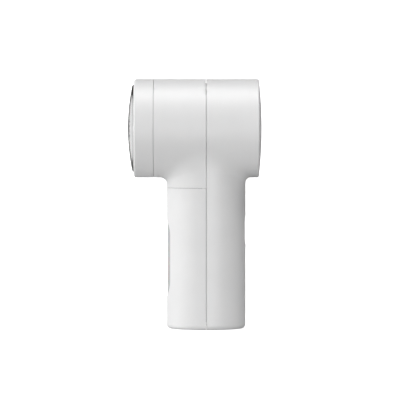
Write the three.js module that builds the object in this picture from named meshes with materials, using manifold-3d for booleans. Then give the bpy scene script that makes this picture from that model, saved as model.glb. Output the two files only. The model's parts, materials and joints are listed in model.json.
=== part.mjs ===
// A cordless fabric shaver: a cylindrical head lying across the top of a round handle. Millimetres, +Z up.
// The origin is on the plane of the flat base, under the middle of the shaver's length. The shaving face
// looks along -X. Pieces are modelled with X = 0 on the handle's axis, and pieces of the head about the
// head's own axis, which runs along X at height HEAD_Z. The assembly at the end puts them in place.
import * as THREE from "three";
import { mergeVertices } from "three/addons/utils/BufferGeometryUtils.js";
import Module from "manifold-3d";

const wasm = await Module();
wasm.setup();

// ---------- Driving dimensions ----------

const TOTAL_HEIGHT = 124;
const HEAD_RADIUS = 24.5;
const HEAD_Z = TOTAL_HEIGHT - HEAD_RADIUS;
const HANDLE_RADIUS = 19.6;
const WALL = 1.8;
const FLOOR = 2; // thickness of the base
const SEAM = 0.3; // gap along every parting line
const GAP = 0.3; // gap between pieces that are assembled against each other
const BASE_FILLET = 2.2;
const BIN_TOP = 70; // height of the parting line between the neck and the lint bin
const AROUND = 32; // facets around the large diameters
const AROUND_MEDIUM = 24; // facets around the motor and the cutter
const AROUND_SMALL = 12; // facets around shafts and bushings
const FAR = 100; // beyond the shaver in every direction from the handle's axis

// The fillet between the handle and the head: how far it runs out from the handle's wall.
const BLEND = { front: 3.9, back: 2.6, sides: 2.4, corners: 4.4, drop: 3.1 };

const HOUSING_FRONT = -26; // front edge of the housing shells
const COLLAR_FRONT = -35.9;
const DOME_TIP = -38.9; // foremost point of the foil
const DOME_SPHERE = 105; // radius of the sphere that the foil and its bezel follow
const BACK_TIP = 27.6; // rearmost point of the head
const BACK_SPHERE = 210;
const BACK_FILLET = 1.5;
const LIP_HEIGHT = -11; // the housing's inner lip runs from here upwards, seen from the head's axis

// The quick thread that holds the collar: three lugs in three helical grooves.
const THREAD_STARTS = 3;
const THREAD_LEAD = 36; // forward travel per turn
const LUG_X = -30.6;
const LUG_HALF_ANGLE = 6;
const LUG_HALF_WIDTH = 1;

const SPIGOT_RADIUS = 21.7;
const COLLAR_BORE = 22.9;
const CHAMBER_BORE = 19.9;
const CHAMBER_FRONT = -33.2;
const CHAMBER_WALL_FRONT = -22;
const CHAMBER_WALL_BACK = -20.2;
const CHAMBER_SCREW_RADIUS = 17.6; // distance of the chamber's screws from the head's axis
const CHAMBER_SCREW_ANGLES = [35, 145, 205, 335];
const MOTOR_SCREW_RADIUS = 8;
const PIN_RADIUS_FROM_AXIS = 18.6; // distance of the interlock pin from the head's axis
const PIN_RADIUS = 0.9;
const SWITCH = { front: -16.9, back: -11.5, halfWidth: 3, bottom: 15.4, top: 20.9 }; // from the head's axis
const SCREW_CLEARANCE = 1.2; // radius of a hole that a screw passes through
const SCREW_PILOT = 0.95; // radius of the bore that a screw cuts its thread in
const SCREW_HEAD = 0.9; // height of a screw's head

const MOTOR_FRONT = CHAMBER_WALL_BACK + GAP;
const MOTOR_BACK = 8;
const MOTOR_RADIUS = 12.1;
const MOTOR_BORE = 11.3;
const SHAFT_RADIUS = 1;
const SHAFT_BORE = 1.06;
const BUSHING = { radius: 3.1, length: 2.2 };
const DRIVE_SEAT = { front: -27.4, back: -26.2, radius: 6.2 }; // the drive hub's shoulder behind the spring

const BLADES = 5;
const CUTTER = { front: -35.6, back: -33.6, radius: 15.8, skirtBack: -30.8, skirtRadius: 6.6, bore: 4.9 };
const FOIL_THICKNESS = 0.35;
const FOIL_RADIUS = 17.1;
const FOIL_HOLE_RINGS = 3;
const FOIL_HOLE_PITCH = 4.7;
const FOIL_HOLE_RADIUS = 1.1;

const CHUTE_HALF_WIDTH = 7.8;
const CHUTE_WALL = 1.2;
const CHUTE_WINDOW = { bottom: 79.8, top: 85.8 }; // the way from the chamber into the chute

const BIN_WALL = 1.6;
const BIN_BACK = -1.6; // front face of the bin's flat back wall
const WINDOW_Z = BIN_TOP / 2;
const WINDOW_WIDTH = 16;
const WINDOW_HEIGHT = 38.5;
const WINDOW_INSET = 0.4;
const WINDOW_REBATE = HANDLE_RADIUS - 0.9; // radius of the rebate's floor
const WINDOW_STEP = 2.5; // how much smaller the window's plug is than its face

const BUTTON_Z = 49;
const BUTTON_WIDTH = 10;
const BUTTON_HEIGHT = 18;
const BUTTON_PROUD = 0.15;
const LENS_Z = 34;

const CHASSIS_FRONT = 0.6;
const CHASSIS_BACK = 2.4;
const CHASSIS_TOP = 74;
const CHASSIS_SCREWS = [
  [-13.2, 6.5],
  [13.2, 6.5],
  [-13.2, 66],
  [13.2, 66],
];
const BATTERY = { back: 10.3, halfWidth: 12, bottom: 11, top: 59 };
const BOARD_FRONT = 11.2;
const BOARD_BACK = 12.4;
const BOARD_TOP = 61;
const BOARD_HALF_WIDTH = 10;
const BOARD_BOTTOM = 2.8;
const TACT = { front: BOARD_BACK + GAP, back: 14.9, half: 3, bore: 1.8 };
const PLUNGER = { front: 13.8, back: 15.9, radius: 1.5 };
const PORT = { x: 14.3, width: 9, thickness: 3.2, bottom: 0.7, depth: 7.3 };
const LEAD_RADIUS = 0.55;

// ---------- Materials ----------

const plastic = (color, roughness) => new THREE.MeshStandardMaterial({ color, roughness, metalness: 0 });
const metal = (color, roughness) => new THREE.MeshStandardMaterial({ color, roughness, metalness: 1 });

const WHITE_SHELL = plastic(0xf2f2f1, 0.45);
const LIGHT_GREY = plastic(0xc9cbcc, 0.5);
const SMOKED = plastic(0xb9bcbe, 0.25);
const DARK_PLASTIC = plastic(0x3a3c3f, 0.55);
const BLACK_RUBBER = plastic(0x1c1c1d, 0.8);
const FELT = plastic(0x8a8378, 1);
const BATTERY_FILM = plastic(0x8fa3b5, 0.4);
const BOARD_GREEN = plastic(0x1f5a3c, 0.5);
const RED_WIRE = plastic(0xb3231f, 0.5);
const BLACK_WIRE = plastic(0x202022, 0.5);
const LENS = plastic(0xe4f2e6, 0.15);
const STEEL = metal(0xb9bbbd, 0.3);
const POLISHED_STEEL = metal(0xc8cacc, 0.12);
const SPRING_STEEL = metal(0x9a9c9e, 0.35);
const ZINC_STEEL = metal(0xa7a9a6, 0.4);
const COPPER = metal(0xb4683a, 0.35);
const BRASS = metal(0xc2a050, 0.35);
const FERRITE = plastic(0x2b2c2e, 0.7);

// ---------- Solids ----------

const degrees = THREE.MathUtils.degToRad;

// A closed geometry as a solid that can be cut and joined.
function solid(geometry) {
  const bare = geometry.index ? geometry.toNonIndexed() : geometry.clone();
  bare.deleteAttribute("normal");
  bare.deleteAttribute("uv");
  const merged = mergeVertices(bare, 1e-4);
  return new wasm.Manifold(
    new wasm.Mesh({
      numProp: 3,
      vertProperties: merged.attributes.position.array,
      triVerts: new Uint32Array(merged.index.array),
    }),
  );
}

function geometryOf(made) {
  const mesh = made.getMesh();
  return new THREE.BufferGeometry()
    .setAttribute("position", new THREE.BufferAttribute(mesh.vertProperties, 3))
    .setIndex(new THREE.BufferAttribute(mesh.triVerts, 1));
}

const join = (first, ...others) => others.reduce((whole, piece) => whole.add(piece), first);
const cut = (first, ...others) => others.reduce((whole, piece) => whole.subtract(piece), first);

// ---------- Shapes ----------

function box(x0, x1, y0, y1, z0, z1) {
  const middle = [(x0 + x1) / 2, (y0 + y1) / 2, (z0 + z1) / 2];
  return new THREE.BoxGeometry(x1 - x0, y1 - y0, z1 - z0).translate(...middle);
}

// A profile of [along, radius] pairs, turned about the Y axis with its faces out. A profile that has no
// point on the axis is closed into a ring.
function turned(profile, around) {
  const onAxis = profile[0][1] === 0;
  const loop = onAxis ? profile : [...profile, profile[0]];
  const area = loop.reduce((sum, [along, radius], i) => {
    const [nextAlong, nextRadius] = loop[(i + 1) % loop.length];
    return sum + radius * nextAlong - nextRadius * along;
  }, 0);
  const points = loop.map(([along, radius]) => new THREE.Vector2(radius, along));
  return new THREE.LatheGeometry(area > 0 ? points : points.reverse(), around);
}

const turnedAboutX = (profile, around = AROUND) => turned(profile, around).rotateZ(-Math.PI / 2);
const turnedAboutZ = (profile, around = AROUND) => turned(profile, around).rotateX(Math.PI / 2);

// A ring about the X axis with a rectangular section.
function ringX(x0, x1, inner, outer, around = AROUND) {
  const profile = [
    [x0, inner],
    [x0, outer],
    [x1, outer],
    [x1, inner],
  ];
  return turnedAboutX(profile, around);
}

// An upright column about the handle's axis.
function column(radius, z0 = 0, z1 = BIN_TOP) {
  const profile = [
    [z0, 0],
    [z0, radius],
    [z1, radius],
    [z1, 0],
  ];
  return solid(turnedAboutZ(profile));
}

// A straight rod along X, centred on (y, z).
function rodX(x0, x1, radius, y = 0, z = 0, around = 16) {
  return new THREE.CylinderGeometry(radius, radius, x1 - x0, around)
    .rotateZ(-Math.PI / 2)
    .translate((x0 + x1) / 2, y, z);
}

// Points of an arc in a profile, from one angle to another in degrees.
function arc(along, radius, size, from, to, steps) {
  return Array.from({ length: steps + 1 }, (_, i) => {
    const angle = degrees(from + ((to - from) * i) / steps);
    return [along + size * Math.cos(angle), radius + size * Math.sin(angle)];
  });
}

// How far a sphere has curved back at a distance from its pole.
const sag = (sphere, distance) => sphere - Math.sqrt(sphere ** 2 - distance ** 2);
const domeAt = (radius) => DOME_TIP + sag(DOME_SPHERE, radius);
const dome = (from, to, steps, behind = 0) =>
  Array.from({ length: steps + 1 }, (_, i) => {
    const radius = from + ((to - from) * i) / steps;
    return [domeAt(radius) + behind, radius];
  });

function extrudeX(shape, x0, x1, arcSteps) {
  const turnedToX = new THREE.Matrix4().makeBasis(
    new THREE.Vector3(0, 1, 0),
    new THREE.Vector3(0, 0, 1),
    new THREE.Vector3(1, 0, 0),
  );
  return extrudeZ(shape, x0, x1, arcSteps).applyMatrix4(turnedToX);
}

function extrudeY(shape, y0, y1) {
  return extrudeZ(shape, -y1, -y0).rotateX(Math.PI / 2);
}

function extrudeZ(shape, z0, z1, arcSteps = 4) {
  const options = { depth: z1 - z0, bevelEnabled: false, curveSegments: arcSteps / 2 };
  return new THREE.ExtrudeGeometry(shape, options).translate(0, 0, z0);
}

const polygon = (points) => new THREE.Shape(points.map(([x, y]) => new THREE.Vector2(x, y)));

// An upright shape with round ends, or a rectangle with round corners where a radius is given.
function pill(width, height, centre = [0, 0], radius = Math.min(width, height) / 2) {
  const [cx, cy] = centre;
  const x = width / 2 - radius;
  const y = height / 2 - radius;
  return new THREE.Shape()
    .absarc(cx + x, cy + y, radius, 0, Math.PI / 2)
    .absarc(cx - x, cy + y, radius, Math.PI / 2, Math.PI)
    .absarc(cx - x, cy - y, radius, Math.PI, 1.5 * Math.PI)
    .absarc(cx + x, cy - y, radius, 1.5 * Math.PI, 2 * Math.PI);
}

// A block that winds round the X axis: its sections run from one angle to another and move forward with the
// thread.
function threadBlock(startAngle, endAngle, innerRadius, outerRadius, halfWidth, atX) {
  const steps = Math.max(2, Math.ceil((endAngle - startAngle) / 10));
  const section = [
    [-1, innerRadius],
    [1, innerRadius],
    [1, outerRadius],
    [-1, outerRadius],
  ];
  const positions = [];
  for (let i = 0; i <= steps; i++) {
    const angle = startAngle + ((endAngle - startAngle) * i) / steps;
    const x = atX - (THREAD_LEAD * angle) / 360;
    // Turning anticlockwise as seen from the front, which is how the collar unscrews.
    const about = degrees(-angle);
    for (const [side, radius] of section)
      positions.push(x + side * halfWidth, radius * Math.cos(about), radius * Math.sin(about));
  }
  const index = [0, 1, 2, 0, 2, 3];
  for (let i = 0; i < steps; i++)
    for (let k = 0; k < 4; k++) {
      const here = 4 * i + k;
      const next = 4 * i + ((k + 1) % 4);
      index.push(here, here + 4, next, next, here + 4, next + 4);
    }
  const last = 4 * steps;
  index.push(last, last + 2, last + 1, last, last + 3, last + 2);
  const made = new THREE.BufferGeometry()
    .setAttribute("position", new THREE.Float32BufferAttribute(positions, 3))
    .setIndex(index);
  const piece = solid(made);
  return piece.volume() > 0 ? made : made.setIndex(index.reverse());
}

// A wire of round section along a list of points.
function wire(points, radius, steps) {
  const path = new THREE.CatmullRomCurve3(points.map((p) => new THREE.Vector3(...p)));
  const section = new THREE.Shape().absarc(0, 0, radius, 0, 2 * Math.PI);
  return new THREE.ExtrudeGeometry(section, { steps, extrudePath: path, curveSegments: 3 });
}

// ---------- Outer body ----------

// How far the blend runs out from the handle's wall, at an angle from the front-to-back plane.
function blendReach(angle) {
  const end = Math.cos(angle) < 0 ? BLEND.front : BLEND.back;
  const corner = Math.sin(2 * angle) ** 2;
  const plain = end * Math.cos(angle) ** 2 + BLEND.sides * Math.sin(angle) ** 2;
  return plain * (1 - corner) + BLEND.corners * corner;
}

// The fillet between the handle and the underside of the head. In each upright plane through the handle's
// axis it is a curve that leaves the handle's wall and meets the head's wall without a crease.
function neckBlend(headRadius, handleRadius, curveSteps) {
  const DEPTH = 3; // how far the ring is buried in the body
  const sections = AROUND;
  const positions = [];
  for (let i = 0; i < sections; i++) {
    const angle = (2 * Math.PI * i) / sections;
    const across = Math.sin(angle);
    const along = Math.abs(Math.cos(angle));
    const reach = blendReach(angle);
    const outer = handleRadius + reach;
    const rise = Math.sqrt(headRadius ** 2 - (outer * across) ** 2);
    const slope = (outer * across ** 2) / rise;
    const drop = BLEND.drop * along + (1 - along) * Math.hypot(reach, slope * reach);
    const end = new THREE.Vector2(outer, -rise);
    const corner = new THREE.Vector2(handleRadius, -rise - slope * reach);
    const start = new THREE.Vector2(handleRadius, corner.y - drop);
    const curve = new THREE.QuadraticBezierCurve(start, corner, end);
    const inner = handleRadius - DEPTH;
    const top = end.y + DEPTH;
    const section = [
      [inner, start.y],
      ...curve.getPoints(curveSteps).map((p) => [p.x, p.y]),
      [outer, top],
      [inner, top],
    ];
    for (const [radius, z] of section)
      positions.push(radius * Math.cos(angle), radius * Math.sin(angle), HEAD_Z + z);
  }
  const around = curveSteps + 4;
  const index = [];
  for (let i = 0; i < sections; i++)
    for (let k = 0; k < around; k++) {
      const here = around * i + k;
      const next = around * i + ((k + 1) % around);
      const beyond = around * ((i + 1) % sections) - around * i;
      index.push(here, here + beyond, next, next, here + beyond, next + beyond);
    }
  return new THREE.BufferGeometry()
    .setAttribute("position", new THREE.Float32BufferAttribute(positions, 3))
    .setIndex(index);
}

// The head, handle and neck as one solid, drawn in by an inset. The inset solid is the hollow inside the
// shells, so it runs out through the open front of the head.
function bodySolid(inset) {
  const radius = HEAD_RADIUS - inset;
  const handle = HANDLE_RADIUS - inset;
  const tip = BACK_TIP - inset;
  const fillet = BACK_FILLET;
  const steps = inset ? 1 : 3; // the hollow is plainer than the outside
  const edge = tip - sag(BACK_SPHERE, radius - fillet) - fillet;
  const front = inset ? HOUSING_FRONT - 1 : HOUSING_FRONT;
  const headProfile = [
    [front, 0],
    [front, radius],
    ...arc(edge, radius - fillet, fillet, 90, 0, steps),
    [tip - sag(BACK_SPHERE, radius / 2), radius / 2],
    [tip, 0],
  ];
  const baseFillet = inset ? 1 : BASE_FILLET;
  const bottom = inset ? FLOOR : 0;
  const handleProfile = [
    [bottom, 0],
    ...arc(bottom + baseFillet, handle - baseFillet, baseFillet, 180, 90, steps),
    [HEAD_Z, handle],
    [HEAD_Z, 0],
  ];
  return join(
    solid(turnedAboutX(headProfile).translate(0, 0, HEAD_Z)),
    solid(turnedAboutZ(handleProfile)),
    solid(neckBlend(radius, handle, steps + 1)),
  );
}

const OUTER = bodySolid(0);
const SHELL = OUTER.subtract(bodySolid(WALL));

const frontHalf = (z0, z1) => solid(box(-FAR, -SEAM / 2, -FAR, FAR, z0, z1));
const rearHalf = () => solid(box(SEAM / 2, FAR, -FAR, FAR, -FAR, 2 * FAR));

// A point on the chamber's screw circle, as [y, z] from the head's axis.
const onCircle = (radius, angle) => [radius * Math.cos(degrees(angle)), radius * Math.sin(degrees(angle))];

function frontHousing() {
  const LIP = { back: 2.2, inner: 21.5, outer: HEAD_RADIUS - WALL - GAP };
  const LIP_ROOT = { front: -3, back: -0.6, outer: HEAD_RADIUS - WALL + 0.2 };
  const BOSS = { radius: 2.4, front: CHAMBER_WALL_BACK + GAP, back: -10 };
  const WEB_HALF = 0.8;
  const NECK_FLOOR = { bottom: BIN_TOP + SEAM / 2, top: BIN_TOP + SEAM / 2 + 1.6 };
  const MOUTH = { front: -15.6, back: -2.8, halfWidth: CHUTE_HALF_WIDTH + 0.4 };
  let made = SHELL.intersect(frontHalf(NECK_FLOOR.bottom, 2 * FAR));
  // The floor of the neck, which closes it above the bin around the mouth of the chute.
  const disc = column(HANDLE_RADIUS - 1, NECK_FLOOR.bottom, NECK_FLOOR.top);
  const mouth = solid(box(MOUTH.front, MOUTH.back, -MOUTH.halfWidth, MOUTH.halfWidth, 0, FAR));
  made = join(made, disc.intersect(frontHalf(0, FAR)).subtract(mouth));
  // A lip over the parting line locates the rear shell.
  const lip = solid(
    turnedAboutX([
      [LIP_ROOT.front, LIP.inner],
      [LIP_ROOT.front, LIP_ROOT.outer],
      [LIP_ROOT.back, LIP_ROOT.outer],
      [LIP_ROOT.back, LIP.outer],
      [LIP.back, LIP.outer],
      [LIP.back, LIP.inner],
    ]).translate(0, 0, HEAD_Z),
  ).intersect(solid(box(-FAR, FAR, -FAR, FAR, HEAD_Z + LIP_HEIGHT, 2 * FAR)));
  // The interlock switch sits against this shelf.
  const shelf = box(-16, -12, -2.6, 2.6, SWITCH.top + GAP, HEAD_RADIUS - 1).translate(0, 0, HEAD_Z);
  made = join(made, lip, solid(shelf));
  for (const angle of CHAMBER_SCREW_ANGLES) {
    const [y, z] = onCircle(CHAMBER_SCREW_RADIUS, angle);
    const boss = rodX(BOSS.front, BOSS.back, BOSS.radius, y, HEAD_Z + z);
    const web = box(BOSS.front, BOSS.back, CHAMBER_SCREW_RADIUS + 1, HEAD_RADIUS - 1, -WEB_HALF, WEB_HALF);
    made = join(made, solid(boss), solid(web.rotateX(degrees(angle)).translate(0, 0, HEAD_Z)));
    made = cut(made, solid(rodX(BOSS.front - 1, BOSS.back + 1, SCREW_PILOT, y, HEAD_Z + z, 8)));
  }
  return geometryOf(made);
}

function rearHousing() {
  const RIB = { front: 3, back: 6, inner: 14.9, halfWidth: 0.8, angles: [90, 210, 330] };
  const BOSS_RADIUS = 2.3;
  const LENS_HOLE = 1.3;
  const PORT_MARGIN = 0.7; // how much wider the port's hole is than the port
  let made = SHELL.intersect(rearHalf());
  for (const angle of RIB.angles) {
    const rib = box(RIB.front, RIB.back, RIB.inner, HEAD_RADIUS - 1, -RIB.halfWidth, RIB.halfWidth);
    made = join(made, solid(rib.rotateX(degrees(angle)).translate(0, 0, HEAD_Z)));
  }
  for (const [y, z] of CHASSIS_SCREWS) {
    const wall = Math.sqrt((HANDLE_RADIUS - WALL) ** 2 - y ** 2) + 0.8;
    const boss = solid(rodX(CHASSIS_BACK + GAP, wall, BOSS_RADIUS, y, z, 12));
    made = join(made, boss.intersect(OUTER));
    made = cut(made, solid(rodX(CHASSIS_BACK, wall - 2, SCREW_PILOT, y, z, 8)));
  }
  const buttonHole = extrudeX(pill(BUTTON_WIDTH, BUTTON_HEIGHT, [0, BUTTON_Z]), 14, FAR);
  const lensHole = rodX(14, FAR, LENS_HOLE, 0, LENS_Z);
  const portShape = pill(PORT.thickness + PORT_MARGIN, PORT.width + PORT_MARGIN, [PORT.x, 0], 1.7);
  const portHole = extrudeZ(portShape, -1, FLOOR + 1);
  return geometryOf(cut(made, solid(buttonHole), solid(lensHole), solid(portHole)));
}

// ---------- Lint bin ----------

// The front half of an upright column about the handle's axis, as far back as flatX.
function halfColumn(radius, flatX, z0, z1) {
  return column(radius, z0, z1).intersect(solid(box(-FAR, flatX, -FAR, FAR, z0, z1)));
}

// A block through the bin's front wall with the window's outline, smaller all round by half the shrink.
function windowPlug(shrink) {
  const outline = pill(WINDOW_WIDTH - shrink, WINDOW_HEIGHT - shrink, [0, WINDOW_Z]);
  return solid(extrudeX(outline, -30, -10));
}

function lintBin() {
  const LEDGE = { inner: 16.9, bottom: 67.2, top: 68.1 };
  const inside = HANDLE_RADIUS - BIN_WALL;
  const cavity = halfColumn(inside, BIN_BACK, FLOOR, BIN_TOP + 1);
  const ledge = cut(
    halfColumn(inside + 0.3, BIN_BACK + 0.3, LEDGE.bottom, LEDGE.top),
    halfColumn(LEDGE.inner, BIN_BACK - 1.1, LEDGE.bottom - 1, LEDGE.top + 1),
  );
  const rebate = cut(windowPlug(0), column(WINDOW_REBATE));
  const cup = join(OUTER.intersect(frontHalf(-1, BIN_TOP - SEAM / 2)).subtract(cavity), ledge);
  return geometryOf(cut(cup, rebate, windowPlug(WINDOW_STEP)));
}

function binWindow() {
  const CLEARANCE = 0.6; // how much narrower the window is than its rebate
  const face = column(HANDLE_RADIUS - WINDOW_INSET).intersect(windowPlug(CLEARANCE));
  const plug = column(WINDOW_REBATE + 0.3).intersect(windowPlug(WINDOW_STEP + CLEARANCE));
  const inside = column(HANDLE_RADIUS - BIN_WALL + 0.1);
  return geometryOf(join(cut(face, column(WINDOW_REBATE + 0.15)), cut(plug, inside)));
}

function binSeal() {
  const WIDTH = 1.2;
  const BOTTOM = 68.4;
  const RADIUS = HANDLE_RADIUS - BIN_WALL - GAP;
  const FLAT = BIN_BACK - GAP;
  const outside = halfColumn(RADIUS, FLAT, BOTTOM, BIN_TOP);
  return geometryOf(cut(outside, halfColumn(RADIUS - WIDTH, FLAT - WIDTH, BOTTOM - 1, BIN_TOP + 1)));
}

// ---------- Head: collar, foil and chamber ----------

const threadAngles = Array.from({ length: THREAD_STARTS }, (_, i) => (360 * i) / THREAD_STARTS);

function collarRing() {
  const FILLET = 1.3;
  const LIP_BACK = COLLAR_FRONT + 0.8;
  const LIP_BORE = 22;
  const back = HOUSING_FRONT - SEAM;
  const ring = solid(
    turnedAboutX([
      [back, HEAD_RADIUS],
      ...arc(COLLAR_FRONT + FILLET, HEAD_RADIUS - FILLET, FILLET, 90, 180, 4),
      [COLLAR_FRONT, LIP_BORE],
      [LIP_BACK, LIP_BORE],
      [LIP_BACK, COLLAR_BORE],
      [back, COLLAR_BORE],
    ]),
  );
  const LUG = { inner: SPIGOT_RADIUS - 0.7, outer: COLLAR_BORE + 0.5 };
  const lugs = threadAngles.map((angle) => {
    const half = LUG_HALF_ANGLE;
    const lug = threadBlock(-half, half, LUG.inner, LUG.outer, LUG_HALF_WIDTH, LUG_X);
    return solid(lug.rotateX(degrees(angle)));
  });
  return geometryOf(join(ring, ...lugs));
}

function bladeChamber() {
  const GROOVE = {
    floor: SPIGOT_RADIUS - 1,
    top: SPIGOT_RADIUS + 0.6,
    halfWidth: LUG_HALF_WIDTH + 0.35,
    start: -LUG_HALF_ANGLE - 1.5,
    end: 60,
  };
  const SEAT = { x: -27.2, radius: 22.3 };
  const PIN_BOSS = 2.2;
  const SHAFT_HOLE = 3;
  let made = solid(
    turnedAboutX([
      [CHAMBER_FRONT, CHAMBER_BORE],
      [CHAMBER_FRONT, SPIGOT_RADIUS],
      [SEAT.x, SPIGOT_RADIUS],
      [SEAT.x, SEAT.radius],
      [CHAMBER_WALL_BACK, SEAT.radius],
      [CHAMBER_WALL_BACK, SHAFT_HOLE],
      [CHAMBER_WALL_FRONT, SHAFT_HOLE],
      [CHAMBER_WALL_FRONT, CHAMBER_BORE],
    ]),
  );
  made = join(made, solid(rodX(CHAMBER_FRONT, CHAMBER_WALL_BACK, PIN_BOSS, 0, PIN_RADIUS_FROM_AXIS)));
  const cuts = [rodX(-FAR, 0, PIN_RADIUS + 0.25, 0, PIN_RADIUS_FROM_AXIS)];
  const throughWall = [CHAMBER_WALL_FRONT - 1, CHAMBER_WALL_BACK + 1];
  const screwPlaces = CHAMBER_SCREW_ANGLES.map((angle) => onCircle(CHAMBER_SCREW_RADIUS, angle));
  screwPlaces.push([-MOTOR_SCREW_RADIUS, 0], [MOTOR_SCREW_RADIUS, 0]);
  for (const place of screwPlaces) cuts.push(rodX(...throughWall, SCREW_CLEARANCE, ...place, 12));
  const mouth = CHUTE_HALF_WIDTH - CHUTE_WALL;
  const [bottom, top] = [CHUTE_WINDOW.bottom - HEAD_Z, CHUTE_WINDOW.top - HEAD_Z];
  cuts.push(box(...throughWall, -mouth, mouth, bottom, top));
  for (const angle of threadAngles) {
    const { start, end, floor, top: grooveTop, halfWidth } = GROOVE;
    const groove = threadBlock(start, end, floor, grooveTop, halfWidth, LUG_X);
    cuts.push(groove.rotateX(degrees(angle)));
  }
  return geometryOf(cut(made, ...cuts.map(solid)));
}

function chamberORing() {
  const RING = { x: -27.8, radius: 22.25, wire: 0.45 };
  return turnedAboutX(arc(RING.x, RING.radius, RING.wire, 0, 270, 3));
}

function foilBezel() {
  const BORE = 17.4;
  const RADIUS = 21.8;
  const LIP = 0.8;
  const POCKET = 20.7;
  const FLANGE = { front: -34.8, back: -33.7, radius: 22.6 };
  return turnedAboutX([
    ...dome(BORE, RADIUS - 0.4, 2),
    [domeAt(RADIUS) + 0.3, RADIUS],
    [FLANGE.front, RADIUS],
    [FLANGE.front, FLANGE.radius],
    [FLANGE.back, FLANGE.radius],
    [FLANGE.back, POCKET],
    [domeAt(POCKET) + LIP, POCKET],
    [domeAt(BORE) + LIP, BORE],
  ]);
}

// The places of the foil's holes, in rings about its centre, as [y, z].
function foilHoles() {
  const places = [];
  for (let ring = 1; ring <= FOIL_HOLE_RINGS; ring++)
    for (let i = 0; i < 6 * ring; i++) {
      const angle = (360 * i) / (6 * ring);
      places.push(onCircle(ring * FOIL_HOLE_PITCH, angle));
    }
  return places;
}

function foil() {
  const FLANGE = { front: -35.75, back: -35.4, radius: 20.4 };
  const sheet = solid(
    turnedAboutX([
      ...dome(0, FOIL_RADIUS, 3),
      [FLANGE.front, FOIL_RADIUS],
      [FLANGE.front, FLANGE.radius],
      [FLANGE.back, FLANGE.radius],
      [FLANGE.back, FOIL_RADIUS - FOIL_THICKNESS],
      ...dome(FOIL_RADIUS - FOIL_THICKNESS, 0, 3, FOIL_THICKNESS),
    ]),
  );
  const throughSheet = [DOME_TIP - 1, DOME_TIP + 3];
  const holes = foilHoles().map(([y, z]) => solid(rodX(...throughSheet, FOIL_HOLE_RADIUS, y, z, 6)));
  return geometryOf(cut(sheet, join(...holes)));
}

const foilClamp = () => ringX(-35.1, -34, 17.6, 20.4);

// ---------- Head: cutter and drive ----------

const bladeAngles = Array.from({ length: BLADES }, (_, i) => 90 + (360 * i) / BLADES);

function cutterDisc() {
  const BOSS = { front: -37.4, radius: 4.8, chamfer: 0.5 };
  const SLOT = { halfWidth: 0.45, inner: 5.2, floor: -34.2 };
  const VANE = { inner: 7, outer: 15, back: -31.4, halfWidth: 0.5 };
  let made = solid(
    turnedAboutX([
      [BOSS.front, 0],
      [BOSS.front, BOSS.radius - 2 * BOSS.chamfer],
      [BOSS.front + BOSS.chamfer, BOSS.radius],
      [CUTTER.front, BOSS.radius],
      [CUTTER.front, CUTTER.radius],
      [CUTTER.back, CUTTER.radius],
      [CUTTER.back, CUTTER.skirtRadius],
      [CUTTER.skirtBack, CUTTER.skirtRadius],
      [CUTTER.skirtBack, 0],
    ], AROUND_MEDIUM),
  );
  made = cut(made, solid(rodX(CUTTER.front - 0.2, CUTTER.skirtBack + 1, CUTTER.bore, 0, 0, 6)));
  const { inner, outer, back, halfWidth } = VANE;
  for (const angle of bladeAngles) {
    const slot = box(-FAR, SLOT.floor, SLOT.inner, CUTTER.radius + 1, -SLOT.halfWidth, SLOT.halfWidth);
    const vane = box(CUTTER.back - 0.5, back, inner, outer, -halfWidth, halfWidth);
    made = cut(made, solid(slot.rotateX(degrees(angle))));
    made = join(made, solid(vane.rotateX(degrees(angle + 180 / BLADES))));
  }
  return geometryOf(made);
}

// One steel blade standing along the radius, its edge just behind the foil. The mesh that holds it is
// turned into place.
function cutterBlade() {
  const THICKNESS = 0.5;
  const FOOT = -34.5;
  const INNER = 5.6;
  const OUTER_END = 15.4;
  const CLEARANCE = FOIL_THICKNESS + 0.3;
  const outline = polygon([
    [FOOT, INNER],
    [FOOT, OUTER_END],
    [domeAt(OUTER_END) + CLEARANCE, OUTER_END],
    [domeAt(INNER) + CLEARANCE, INNER],
  ]);
  return extrudeZ(outline, -THICKNESS / 2, THICKNESS / 2);
}

function driveHub() {
  const HEX = { front: -35, back: -27.2, radius: 4.5 };
  const SLEEVE = { back: -23.5, radius: 2.6 };
  const BORE_FRONT = -33.5;
  const made = join(
    solid(rodX(HEX.front, HEX.back, HEX.radius, 0, 0, 6)),
    solid(rodX(DRIVE_SEAT.front, DRIVE_SEAT.back, DRIVE_SEAT.radius, 0, 0, AROUND_SMALL)),
    solid(rodX(DRIVE_SEAT.back - 0.5, SLEEVE.back, SLEEVE.radius, 0, 0, AROUND_SMALL)),
  );
  return geometryOf(cut(made, solid(rodX(BORE_FRONT, 0, SHAFT_BORE, 0, 0, AROUND_SMALL))));
}

function cutterSpring() {
  const COIL = { front: -30.1, back: -28.1, radius: 5.45, wire: 0.3, turns: 2, stepsPerTurn: 12 };
  const steps = COIL.turns * COIL.stepsPerTurn;
  const points = Array.from({ length: steps + 1 }, (_, i) => {
    const angle = (2 * Math.PI * i) / COIL.stepsPerTurn;
    const x = COIL.front + ((COIL.back - COIL.front) * i) / steps;
    return [x, COIL.radius * Math.cos(angle), COIL.radius * Math.sin(angle)];
  });
  return wire(points, COIL.wire, steps);
}

const shaftSeal = () => ringX(-21.8, -20.5, 1.3, 2.7, AROUND_SMALL);

function interlockPin() {
  const TIP = -33.7;
  const CHAMFER = 0.3;
  const FLANGE = { front: -18.4, back: -17.6, radius: 1.6 };
  const END = -17.2;
  const profile = [
    [TIP, 0],
    [TIP, PIN_RADIUS - CHAMFER],
    [TIP + CHAMFER, PIN_RADIUS],
    [FLANGE.front, PIN_RADIUS],
    [FLANGE.front, FLANGE.radius],
    [FLANGE.back, FLANGE.radius],
    [FLANGE.back, PIN_RADIUS],
    [END, PIN_RADIUS],
    [END, 0],
  ];
  return turnedAboutX(profile, AROUND_SMALL);
}

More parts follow.
